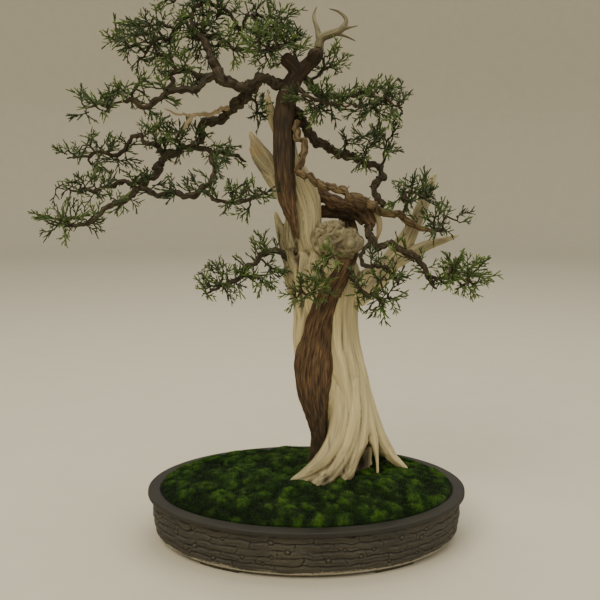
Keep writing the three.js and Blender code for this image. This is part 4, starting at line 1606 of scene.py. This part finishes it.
@dataclass
class Branch:
    """One branch and its forks, with short dead spurs along it."""

    node: str
    habit: Habit
    routes: Sequence[Sequence[Row]]
    finish: Finish = field(default_factory=BranchBark)
    spacing: float = 1.3
    spur_gap: float = 20.0
    slim: float = 0.88
    leafy_from: float = 0.0

    def lines(self) -> list[Route]:
        """The branch's routes, smoothly sampled.

        Returns:
            One route for each fork.
        """
        routes = [Route(rows, self.spacing) for rows in self.routes]
        for route in routes:
            for size, reach in ((19.0, 5.5), (8.0, 2.6)):
                waves = [ripple(route.centre, (size,) * 3, axis + size) for axis in range(3)]
                route.centre = route.centre + reach * np.column_stack(waves)
            route.half = np.maximum(route.half * self.slim, 0.6)
        return routes

    def samples(self) -> np.ndarray:
        """Rows of x, y, z and half width along the branch, the width 99 where it is bare.

        Returns:
            Rows of x, y, z and half width in millimetres.
        """
        rows = []
        for route in self.lines():
            bare = route.along < self.leafy_from * route.length
            rows.append(np.column_stack((route.centre, np.where(bare, 99, route.half[:, 0]))))
        return np.vstack(rows)

    def spurs(self, bm: bmesh.types.BMesh, route: Route, rng: Random) -> None:
        """Adds the stubs of lost twigs.

        Args:
            bm: the bmesh to add to.
            route: the limb they stand on.
            rng: the source of chance.
        """
        for _ in range(int(route.length / self.spur_gap)):
            k = rng.randrange(len(route.along) // 6, len(route.along) - 4)
            turn = rng.uniform(0, 2 * math.pi)
            outward = Vector(route.side[k]) * math.cos(turn) + Vector(route.deep[k]) * math.sin(turn)
            out = (outward + Vector(route.tangent[k]) * rng.uniform(0, 0.8)).normalized()
            root = ORIGIN + Vector(route.centre[k]) * MM
            reach = (route.half[k][0] + rng.uniform(1.2, 4.5)) * MM
            rod(bm, root, root + out * reach, (1.0 * MM, 0.45 * MM), 6)

    def build(self) -> None:
        """Rolls each limb, adds its spurs, and marks it for the bark."""
        rng = Random(sum(map(ord, self.node)))
        bm = bmesh.new()
        bm.verts.layers.float_vector.new("fibre")
        for k, route in enumerate(self.lines()):
            append(bm, limb(route, 14, self.habit.value, rng.random() * 9 + k))
            self.spurs(bm, route, rng)
        mesh = mesh_from(bm, self.node)
        local = (coordinates(mesh) - np.array(ORIGIN)) / MM
        write_attribute(mesh, "recess", recess(mesh, 3, 0.35))
        write_attribute(mesh, "shade", np.clip(0.3 + 0.5 * ripple(local, (24, 24, 24), 3.0), 0, 1))
        write_attribute(mesh, "hollow", np.zeros(len(local)))
        write_attribute(mesh, "stain", np.zeros(len(local)))
        set_piece(f"{self.node}_bark", mesh, self.finish, [self.node])


def branches() -> list[Branch]:
    """Every branch, from the crown down."""
    return [
        Branch(
            "branch_upper_left",
            Habit.GNARLED,
            [
                [(-22, 0, 552, 8), (-41, -4, 557, 7.5), (-60, -10, 554, 7), (-78, -14, 551, 7),
                 (-91, -18, 553, 6.5), (-102, -20, 562, 6.5), (-107, -18, 576, 5.5), (-113, -14, 590, 5),
                 (-120, -10, 604, 4.5), (-130, -4, 615, 3.5), (-143, 2, 627, 2.5)],
            ],
        ),
        Branch(
            "branch_top_loop",
            Habit.SLENDER,
            [
                [(-130, -4, 614, 3), (-134, 4, 632, 2.5), (-126, 12, 646, 2.5), (-111, 18, 648, 2.5),
                 (-95, 22, 639, 2.5), (-84, 26, 622, 2.5), (-71, 26, 606, 2), (-53, 20, 596, 2)],
            ],
        ),
        Branch(
            "branch_left_tier",
            Habit.GNARLED,
            [
                [(-93, -18, 554, 5.5), (-114, -26, 557, 5), (-125, -34, 548, 4.5), (-142, -42, 541, 4.5),
                 (-157, -48, 536, 4), (-180, -55, 527, 3.5), (-193, -56, 532, 3), (-208, -56, 528, 2),
                 (-225, -54, 517, 1.2)],
                [(-114, -26, 557, 4), (-129, -28, 562, 3.5), (-143, -32, 565, 3.5), (-151, -38, 562, 3.5),
                 (-150, -42, 551, 3), (-156, -46, 541, 3)],
            ],
        ),
        Branch(
            "branch_cascade",
            Habit.GNARLED,
            [
                [(-52, -6, 552, 6), (-67, 0, 546, 7), (-75, 6, 537, 7), (-89, 14, 529, 7),
                 (-103, 22, 520, 6.5), (-119, 30, 515, 6), (-129, 36, 514, 5.5), (-129, 38, 501, 5.5),
                 (-137, 34, 489, 5.5), (-154, 26, 480, 5.5), (-175, 10, 467, 5.5), (-181, 4, 458, 5.5),
                 (-178, 0, 450, 5.5), (-187, -6, 443, 4.5)],
            ],
        ),
        Branch(
            "branch_left_low",
            Habit.GNARLED,
            [
                [(-185, -5, 445, 4.5), (-199, -12, 434, 4.5), (-209, -18, 425, 4), (-222, -26, 417, 3.5),
                 (-249, -36, 400, 3), (-261, -40, 395, 2.5), (-280, -44, 392, 1.2)],
            ],
        ),
        Branch(
            "branch_left_middle",
            Habit.SLENDER,
            [
                [(-186, -5, 443, 3.5), (-201, 0, 440, 3.5), (-221, 8, 440, 3.5), (-239, 16, 434, 3),
                 (-262, 24, 430, 2.5), (-279, 28, 433, 2), (-303, 32, 435, 1)],
            ],
        ),
        Branch(
            "branch_left_fork",
            Habit.SLENDER,
            [
                [(-163, 20, 476, 3.5), (-177, 24, 481, 3.5), (-193, 32, 490, 3), (-206, 40, 499, 3),
                 (-218, 46, 495, 3), (-227, 48, 483, 3), (-241, 50, 477, 3), (-259, 54, 480, 2.5),
                 (-278, 58, 474, 2), (-308, 62, 474, 1)],
            ],
        ),
        Branch(
            "branch_inner_return",
            Habit.SLENDER,
            [
                [(-196, -11, 437, 3.5), (-176, -22, 432, 3.5), (-155, -30, 429, 3.5), (-126, -38, 430, 4),
                 (-111, -30, 446, 3.5), (-106, -20, 460, 3.5), (-111, -2, 473, 3), (-131, 24, 481, 3)],
                [(-122, -37, 432, 3), (-103, -40, 422, 2.5), (-90, -38, 418, 2.5), (-72, -30, 420, 2.5),
                 (-59, -22, 425, 2), (-46, -12, 427, 1.5)],
            ],
        ),
        Branch(
            "branch_cascade_right",
            Habit.SLENDER,
            [
                [(-136, 33, 486, 3.5), (-121, 40, 479, 3.5), (-100, 46, 475, 3), (-87, 48, 472, 3),
                 (-76, 48, 464, 1.5)],
            ],
        ),
        Branch(
            "branch_right_top",
            Habit.GNARLED,
            [
                [(-13, 4, 560, 5.5), (-1, 8, 562, 5.5), (6, 12, 553, 5), (15, 14, 545, 4.5), (29, 12, 541, 4),
                 (62, -2, 542, 3.5), (79, -10, 538, 3), (96, -16, 534, 2.5), (112, -20, 523, 1.2)],
            ],
            leafy_from=0.3,
        ),
        Branch(
            "branch_right_loop",
            Habit.SLENDER,
            [
                [(-14, -6, 552, 2.5), (-2, -16, 544, 2.5), (10, -22, 535, 2.5), (26, -26, 529, 2),
                 (44, -30, 527, 1.5), (62, -34, 520, 1)],
            ],
        ),
        Branch(
            "branch_right_upper",
            Habit.KNOTTED,
            [
                [(-18, 2, 528, 6), (-4, 10, 512, 5.5), (3, 16, 498, 5), (14, 22, 489, 5), (29, 28, 481, 4.5),
                 (46, 32, 474, 5), (68, 34, 466, 4), (84, 32, 460, 4), (93, 28, 449, 4), (86, 22, 439, 4),
                 (80, 18, 433, 4), (87, 12, 425, 4), (95, 5, 413, 3.5)],
            ],
            leafy_from=1.0,
            slim=1.08,
        ),
        Branch(
            "branch_right_twisted",
            Habit.TWISTED,
            [
                [(-18, -3, 513, 4), (-10, -12, 503, 4), (-11, -16, 494, 3.5), (-5, -18, 483, 3.5),
                 (-5, -18, 469, 3.5), (-11, -18, 460, 3.5), (-5, -20, 451, 3.5), (11, -22, 441, 4),
                 (27, -22, 433, 4), (46, -20, 429, 4.2), (63, -14, 423, 4.5), (78, -6, 413, 4.5),
                 (94, 0, 407, 4), (114, 2, 400, 3.5), (133, -2, 389, 3), (147, -8, 384, 2),
                 (163, -12, 381, 1)],
            ],
            finish=TanBark(),
            leafy_from=0.86,
            slim=1.15,
        ),
        Branch(
            "branch_burl_right",
            Habit.TWISTED,
            [
                [(76, -3, 394, 5), (76, -10, 378, 4.5), (82, -14, 368, 4), (99, -18, 370, 3.5),
                 (112, -22, 363, 3.5), (125, -24, 358, 4), (135, -24, 347, 3.5), (147, -24, 333, 3),
                 (154, -26, 318, 1.2)],
                [(77, -12, 374, 3), (68, -18, 362, 2.5), (65, -22, 353, 2.5), (68, -26, 342, 2.5),
                 (79, -30, 345, 2.5), (93, -32, 342, 2), (104, -32, 331, 2), (110, -30, 318, 1)],
            ],
            leafy_from=0.45,
            slim=1.0,
        ),
        Branch(
            "branch_lower_left",
            Habit.SLENDER,
            [
                [(-18, 2, 344, 5), (-31, -6, 356, 4.5), (-49, -14, 357, 4), (-59, -20, 350, 3.5),
                 (-72, -26, 339, 3.5), (-89, -32, 325, 3), (-105, -36, 316, 2), (-124, -40, 307, 1)],
            ],
        ),
        Branch(
            "branch_front_low",
            Habit.SLENDER,
            [
                [(20, -8, 342, 3), (18, -24, 327, 2.5), (11, -32, 319, 2.5), (-1, -36, 314, 2),
                 (-12, -38, 316, 1)],
            ],
            leafy_from=0.2,
        ),
        Branch(
            "branch_front_right",
            Habit.SLENDER,
            [
                [(48, -8, 334, 3), (59, -22, 321, 2.5), (68, -30, 314, 2.5), (79, -34, 308, 2),
                 (96, -38, 304, 1)],
            ],
        ),
        Branch(
            "dead_twig",
            Habit.SLENDER,
            [
                [(-92, 14, 527, 3.5), (-114, 4, 524, 3), (-128, -2, 520, 2.5), (-136, -6, 514, 2.5),
                 (-141, -10, 501, 1.5)],
                [(-132, -4, 517, 2), (-150, -10, 522, 1.5), (-164, -14, 525, 0.8)],
            ],
            finish=DryTwigBark(),
            spur_gap=60.0,
        ),
    ]


# -------------------------------------------------------------------- foliage


@dataclass
class Sprays:
    """A few sprays of scale leaves, which every leafy mass is built from."""

    kinds: int = 6
    stem: float = 23.0
    side_angle: float = 36.0
    radius: float = 1.1
    tip_radius: float = 0.6

    def spray(self, seed: int) -> bpy.types.Mesh:
        """One spray: a stem along +Z with alternate side shoots, some forked.

        Args:
            seed: chooses its shape.

        Returns:
            A mesh in metres with a "young" value rising towards its tips.
        """
        rng = Random(seed)
        bm = bmesh.new()
        young = bm.verts.layers.float.new("young")

        def shoot(start: Vector, way: Vector, length: float, age: float) -> Vector:
            """Adds one shoot and returns its tip.

            Args:
                start: its foot.
                way: which way it grows.
                length: how long it is.
                age: how young its foot is, from 0 to 1.

            Returns:
                Its tip.
            """
            end = start + way.normalized() * length
            made = rod(bm, start * MM, end * MM, (self.radius * MM, self.tip_radius * MM), 3)
            for vert in made:
                far = (vert.co - start * MM).length > (vert.co - end * MM).length
                vert[young] = min(1.0, age + 0.5 * far)
            return end

        joint = Vector()
        way = Vector((0, 0, 1))
        side = 1
        lengths = [self.stem * share * rng.uniform(0.85, 1.15) for share in (0.28, 0.24, 0.24, 0.24)]
        for k, length in enumerate(lengths):
            joint = shoot(joint, way, length, 0.1 + 0.1 * k)
            way = Vector((way.x + rng.gauss(0, 0.14), way.y + rng.gauss(0, 0.14), 1))
            if k == len(lengths) - 1:
                break
            angle = math.radians(self.side_angle + rng.gauss(0, 7))
            lean = Vector((side * math.sin(angle), rng.gauss(0, 0.28), math.cos(angle)))
            reach = rng.uniform(8.5, 14.0) * (1 - 0.12 * k)
            tip = shoot(joint, lean, reach, 0.45)
            if rng.random() < 0.28:
                fork = joint.lerp(tip, 0.5)
                shoot(fork, lean + Vector((-side * 0.5, rng.gauss(0, 0.3), 0.45)), reach * 0.6, 0.5)
            side = -side
        return mesh_from(bm, f"spray_{seed}")

    def all(self) -> list[bpy.types.Mesh]:
        """Every kind of spray."""
        return [self.spray(100 + k) for k in range(self.kinds)]


@dataclass(frozen=True)
class Pad:
    """A leafy mass: where it is, how big, how full, and how yellow-green."""

    node: str
    centre: Row
    half: Row
    fullness: float = 1.0
    tint: float = 0.45


PADS = (
    Pad("foliage_top_left_outer", (-181, -10, 602), (47, 42, 34)),
    Pad("foliage_top_left_inner", (-126, 14, 611), (31, 40, 36)),
    Pad("foliage_top", (-129, 10, 657), (66, 42, 15), 1.3),
    Pad("foliage_crown", (-40, -8, 596), (44, 46, 24), 1.45),
    Pad("foliage_crown_top", (-48, 24, 631), (38, 34, 15), 1.3),
    Pad("foliage_crown_inner", (-92, -2, 597), (23, 28, 13), 1.0, 0.75),
    Pad("foliage_crown_right", (28, 6, 579), (20, 22, 14), 1.4),
    Pad("foliage_tier_inner", (-143, -32, 576), (29, 28, 15), 0.55),
    Pad("foliage_tier_middle", (-185, -54, 542), (35, 34, 15), 0.55),
    Pad("foliage_tier_tip", (-231, -56, 522), (32, 32, 18), 0.65),
    Pad("foliage_cascade_top", (-160, 26, 493), (41, 36, 24), 0.85),
    Pad("foliage_near_trunk", (-58, 14, 520), (19, 20, 23), 0.7),
    Pad("foliage_left_fork", (-262, 54, 476), (44, 38, 22), 0.6),
    Pad("foliage_left_middle", (-272, 26, 436), (36, 30, 13), 0.65),
    Pad("foliage_left_tip", (-274, -44, 397), (31, 34, 17), 1.2),
    Pad("foliage_inner", (-74, -34, 423), (34, 28, 20), 0.7, 0.3),
    Pad("foliage_right_top_outer", (85, -12, 531), (44, 36, 24), 1.25),
    Pad("foliage_right_top_inner", (13, -16, 533), (31, 32, 17), 1.4),
    Pad("foliage_right_middle", (79, 26, 482), (41, 36, 24), 0.95),
    Pad("foliage_far_right_upper", (129, -2, 428), (35, 32, 21)),
    Pad("foliage_far_right_lower", (161, -14, 397), (26, 28, 17), 1.2),
    Pad("foliage_lower_right", (177, -28, 333), (37, 32, 19), 1.9, 0.65),
    Pad("foliage_burl", (29, -38, 356), (20, 11, 10), 0.6, 0.85),
    Pad("foliage_front_low", (6, -42, 317), (32, 18, 19), 0.8),
    Pad("foliage_front_right", (79, -40, 312), (32, 26, 26), 0.8),
    Pad("foliage_lower_left_outer", (-100, -36, 323), (32, 30, 22), 0.8),
    Pad("foliage_lower_left_inner", (-55, -24, 336), (26, 24, 19), 0.8),
)


@dataclass
class Foliage:
    """The leafy masses and the fine twigs that carry them."""

    branch_points: np.ndarray
    sprays: Sequence[bpy.types.Mesh]
    per_area: float = 0.0145
    cluster: int = 3
    step: float = 5.0
    thickest: float = 4.1
    shoot_gap: int = 6
    twig_radius: float = 0.65
    finish: Finish = field(default_factory=ScaleFoliage)
    bark: Finish = field(default_factory=BranchBark)

    def roots(self, pad: Pad) -> list[Vector]:
        """The places on the branches that a pad's twigs may start from.

        Args:
            pad: the leafy mass.

        Returns:
            The places, in millimetres.
        """
        spots = self.branch_points[:, :3]
        chosen = np.flatnonzero(self.reach(pad) < 3.2)[::4]
        if len(chosen) < 2:
            chosen = np.argsort(np.linalg.norm(spots - np.array(pad.centre), axis=1))[:3]
        return [Vector(spots[k]) for k in chosen]

    def reach(self, pad: Pad) -> np.ndarray:
        """How far each branch point is from a pad's middle: 1 is at its edge."""
        offset = self.branch_points[:, :3] - np.array(pad.centre)
        return np.linalg.norm(offset / np.array(pad.half), axis=1)

    def along_branches(self, number: int, rng: Random) -> list[Vector]:
        """Places beside the thin branches near a pad that carry sprays of their own.

        Args:
            number: which pad it is.
            rng: the source of chance.

        Returns:
            The places, in millimetres.
        """
        nearest = np.argmin([self.reach(pad) for pad in PADS], axis=0)
        own = np.flatnonzero((nearest == number) & (self.branch_points[:, 3] < self.thickest))
        reach = self.reach(PADS[number])
        found = []
        for k in own[:: self.shoot_gap]:
            if rng.random() > 0.3 and reach[k] < 3.2:
                way = Vector((rng.gauss(0, 1), rng.gauss(0, 1), rng.gauss(0.5, 0.7))).normalized()
                found.append(Vector(self.branch_points[k, :3]) + way * rng.uniform(4, 13))
        return found

    def centres(self, pad: Pad, rng: Random) -> list[Vector]:
        """Where the pad's clusters of sprays sit, spread through its volume.

        Args:
            pad: the leafy mass.
            rng: the source of chance.

        Returns:
            The places, in millimetres.
        """
        count = max(5, round(self.per_area * math.pi * pad.half[0] * pad.half[2] * pad.fullness / 1.7))
        found: list[Vector] = []
        while len(found) < count:
            way = Vector((rng.gauss(0, 1), rng.gauss(0, 1), rng.gauss(0, 1) + 0.15)).normalized()
            reach = 0.86 * rng.random() ** 0.5
            half = Vector(pad.half)
            spot = Vector(pad.centre) + Vector(way[k] * reach * half[k] for k in range(3))
            gap = min(((spot - other).length for other in found), default=99)
            if gap > 8 or rng.random() < 0.08:
                found.append(spot)
        return found

    def twigs(
        self, roots: list[Vector], targets: list[Vector], rng: Random
    ) -> tuple[list[Vector], list[int], list[int]]:
        """Grows twigs from the branches to every cluster, sharing what they can.

        Args:
            roots: the starting places.
            targets: the clusters to reach.
            rng: the source of chance.

        Returns:
            The joints, each joint's parent, and the last joint of each target.
        """
        joints = list(roots)
        parents = [-1] * len(roots)
        ends = []
        order = sorted(targets, key=lambda spot: min((spot - root).length for root in roots))
        for target in order:
            near = min(range(len(joints)), key=lambda k: (joints[k] - target).length)
            start = joints[near]
            steps = max(1, round((target - start).length / self.step))
            sag = Vector((rng.gauss(0, 1), rng.gauss(0, 1), rng.gauss(0.6, 1))) * 1.6
            for k in range(1, steps + 1):
                share = k / steps
                wobble = Vector((rng.gauss(0, 0.6), rng.gauss(0, 0.6), rng.gauss(0, 0.6)))
                bow = sag * math.sin(math.pi * share) + wobble * (k < steps)
                joints.append(start.lerp(target, share) + bow)
                parents.append(near)
                near = len(joints) - 1
            ends.append(near)
        targets[:] = order
        return joints, parents, ends

    def build_twigs(self, bm: bmesh.types.BMesh, joints: list[Vector], parents: list[int]) -> None:
        """Adds a rod for each stretch of twig, thicker where more hangs from it.

        Args:
            bm: the bmesh to add to.
            joints: the places where twigs meet.
            parents: the joint that each one grows from, or -1.
        """
        load = [1] * len(joints)
        for k in range(len(joints) - 1, -1, -1):
            if parents[k] >= 0:
                load[parents[k]] += load[k]
        for k, parent in enumerate(parents):
            if parent < 0:
                continue
            thick = self.twig_radius * min(load[parent], load[k] * 2) ** 0.33
            thin = self.twig_radius * load[k] ** 0.33
            start, end = ORIGIN + joints[parent] * MM, ORIGIN + joints[k] * MM
            rod(bm, start, end, (thick * MM, thin * MM), 5)

    def stamp(
        self, bm: bmesh.types.BMesh, spot: Vector, way: Vector, size: float, tint: float, rng: Random
    ) -> None:
        """Adds a copy of one spray.

        Args:
            bm: the bmesh to add to.
            spot: where its stem starts, in millimetres.
            way: which way it points.
            size: its scale.
            tint: its yellow-greenness.
            rng: the source of chance.
        """
        spray = self.sprays[rng.randrange(len(self.sprays))]
        tints = spray.attributes.get("tint") or spray.attributes.new("tint", "FLOAT", "POINT")
        tints.data.foreach_set("value", [tint] * len(spray.vertices))
        roll = Matrix.Rotation(rng.uniform(0, 6.28), 4, "Z")
        turn = way.to_track_quat("Z", "Y").to_matrix().to_4x4() @ roll
        move = Matrix.Translation(ORIGIN + spot * MM) @ turn @ Matrix.Scale(size, 4)
        spray.transform(move)
        bm.from_mesh(spray)
        spray.transform(move.inverted())

    def build(self) -> None:
        """Builds every pad, and one piece holding all the fine twigs."""
        wood = bmesh.new()
        for number, pad in enumerate(PADS):
            rng = Random(500 + number)
            centre, half = Vector(pad.centre), Vector(pad.half)
            roots = self.roots(pad)
            targets = self.centres(pad, rng) + self.along_branches(number, rng)
            joints, parents, ends = self.twigs(roots, targets, rng)
            self.build_twigs(wood, joints, parents)
            leaves = bmesh.new()
            for target, end in zip(targets, ends):
                stem = joints[end] - joints[parents[end]] if parents[end] >= 0 else Vector((0, 0, 1))
                outward = Vector((target - centre)[k] / half[k] ** 2 * 20 for k in range(3))
                outward *= min(1.0, 1.2 / max(outward.length, 0.1))
                light = pad.tint + 0.35 * noise.noise((centre + target) / 24) + rng.gauss(0, 0.1)
                for _ in range(self.cluster + rng.randint(-1, 1)):
                    spread = Vector((rng.gauss(0, 0.6), rng.gauss(0, 0.6), rng.gauss(0.22, 0.4)))
                    way = (stem.normalized() * 0.7 + outward * 0.8 + spread).normalized()
                    base = target - way * rng.uniform(0, 5)
                    tint = min(1.0, max(0.0, light + rng.gauss(0, 0.12)))
                    self.stamp(leaves, base, way, rng.uniform(0.6, 1.05), tint, rng)
            mesh = mesh_from(leaves, pad.node)
            set_piece(f"{pad.node}_sprays", mesh, self.finish, [pad.node], smooth=False)
        mesh = mesh_from(wood, "fine_twigs")
        points = coordinates(mesh)
        local = (points - np.array(ORIGIN)) / MM
        write_attribute(mesh, "fibre", local)
        write_attribute(mesh, "recess", np.full(len(points), 0.5))
        write_attribute(mesh, "shade", np.full(len(points), 0.35))
        set_piece("fine_twigs", mesh, self.bark, [])


# ----------------------------------------------------------- what stays as CAD


def dress_hidden_parts() -> None:
    """Gives the CAD pieces that keep their shape their real materials."""
    finishes: dict[str, Finish] = {
        "soil": POTTING_GRIT,
        "drainage_screen": SCREEN_PLASTIC,
        "screen_clip": ANODISED_WIRE,
        "root_tie_wire": ANODISED_WIRE,
        "roots": RootBark(),
    }
    for name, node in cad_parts.items():
        for start, finish in finishes.items():
            if name.startswith(start):
                node.data.materials.clear()
                node.data.materials.append(finish.material())
                LOG.info("%s: CAD shape kept, in %s", name, finish.title)


# ---------------------------------------------------------------------- studio


@dataclass
class Studio:
    """A pale floor curving up behind, soft lamps, and the camera."""

    focal: float = 44.58
    pitch: float = 9.0
    stand: Row = (-8, -898, 441)
    floor_colour: str = "#CFC9B8"
    air_colour: str = "#EFEBDD"
    air_strength: float = 0.8

    def floor(self) -> None:
        """A round sweep of pale paper: a floor that curves up into a wall all round."""
        bm = bmesh.new()
        bend = [math.radians(angle) for angle in range(0, 91, 10)]
        section = [(0.0, 0.0), (2.0, 0.0)]
        section += [(4.0 + 1.2 * math.sin(a), 1.2 - 1.2 * math.cos(a)) for a in bend]
        section.append((5.2, 3.4))
        verts = [bm.verts.new((r, 0, z - 0.0005)) for r, z in section]
        line = [bm.edges.new(pair) for pair in zip(verts, verts[1:])]
        bmesh.ops.spin(
            bm, geom=verts + line, cent=(0, 0, 0), axis=(0, 0, 1), angle=2 * math.pi, steps=72, use_merge=True
        )
        bmesh.ops.remove_doubles(bm, verts=bm.verts, dist=WELD)
        bmesh.ops.recalc_face_normals(bm, faces=bm.faces)
        bm.faces.ensure_lookup_table()
        if min(bm.faces, key=lambda face: face.calc_center_median().z).normal.z < 0:
            bmesh.ops.reverse_faces(bm, faces=bm.faces)
        mesh = mesh_from(bm, "floor")
        mesh.polygons.foreach_set("use_smooth", [True] * len(mesh.polygons))
        sweep = bpy.data.objects.new("floor", mesh)
        bpy.context.scene.collection.objects.link(sweep)
        paper = bpy.data.materials.new("Backdrop paper, matt")
        paper.use_nodes = True
        paper.node_tree.nodes.clear()
        add = partial(add_node, paper.node_tree)
        place = add("TexCoord").outputs["Object"]
        fleck = add("TexNoise", {"Vector": place, "Scale": per_metre(60)}).outputs["Fac"]
        shade = add("MapRange", {0: fleck, 1: 0.3, 2: 0.7, 3: 0.97, 4: 1.0}).outputs[0]
        colour = add(
            "Mix", {0: 1.0, 6: linear(self.floor_colour), 7: shade}, data_type="RGBA", blend_type="MULTIPLY"
        ).outputs[2]
        shader = add("BsdfPrincipled", {"Base Color": colour, "Roughness": 0.9})
        add("OutputMaterial", {"Surface": shader.outputs[0]})
        mesh.materials.append(paper)

    def lamp(self, name: str, spot: Row, size: float, watts: float, colour: str) -> None:
        """Hangs a square soft lamp that faces the middle of the tree.

        Args:
            name: its name.
            spot: where it hangs, in metres.
            size: its width in metres.
            watts: its power.
            colour: its sRGB hex colour.
        """
        light = bpy.data.lights.new(name, "AREA")
        light.size = size
        light.energy = watts
        light.color = linear(colour)[:3]
        holder = bpy.data.objects.new(name, light)
        holder.location = spot
        aim = Vector((0, 0, 0.3)) - Vector(spot)
        holder.rotation_euler = aim.to_track_quat("-Z", "Y").to_euler()
        bpy.context.scene.collection.objects.link(holder)

    def camera(self) -> None:
        """Stands the camera in front, a little above and tilted down."""
        lens = bpy.data.cameras.new("camera")
        lens.lens = self.focal
        lens.sensor_width = 36.0
        lens.clip_end = 50.0
        eye = bpy.data.objects.new("camera", lens)
        eye.location = ORIGIN + Vector(self.stand) * MM
        eye.rotation_euler = (math.radians(90 - self.pitch), 0, 0)
        bpy.context.scene.collection.objects.link(eye)
        bpy.context.scene.camera = eye

    def build(self) -> None:
        """Lays the floor, hangs the lamps and stands the camera."""
        self.floor()
        self.lamp("key", (-1.2, -1.6, 2.4), 1.5, 46, "#FFF3DC")
        self.lamp("fill", (1.9, -1.3, 1.3), 1.8, 14, "#FFF8EC")
        self.lamp("top", (0.2, 0.5, 2.6), 1.8, 30, "#FFFAEE")
        world = bpy.data.worlds.new("studio air")
        world.use_nodes = True
        air = world.node_tree.nodes["Background"]
        air.inputs["Color"].default_value = linear(self.air_colour)
        air.inputs["Strength"].default_value = self.air_strength
        bpy.context.scene.world = world
        self.camera()


def main() -> None:
    """Builds the pot, the moss, the wood, the branches and the leaves, in that order."""
    logging.basicConfig(level=logging.INFO, format="%(name)s %(message)s")
    Studio().build()
    Pot().build()
    MossCushion().build()
    dead_trunk().build()
    bark_vein().build()
    dead_apex().build()
    grown = branches()
    for branch in grown:
        branch.build()
    living = [branch.samples() for branch in grown if branch.node != "dead_twig"]
    Foliage(np.vstack(living), Sprays().all()).build()
    dress_hidden_parts()


if __name__ == "__main__":
    main()
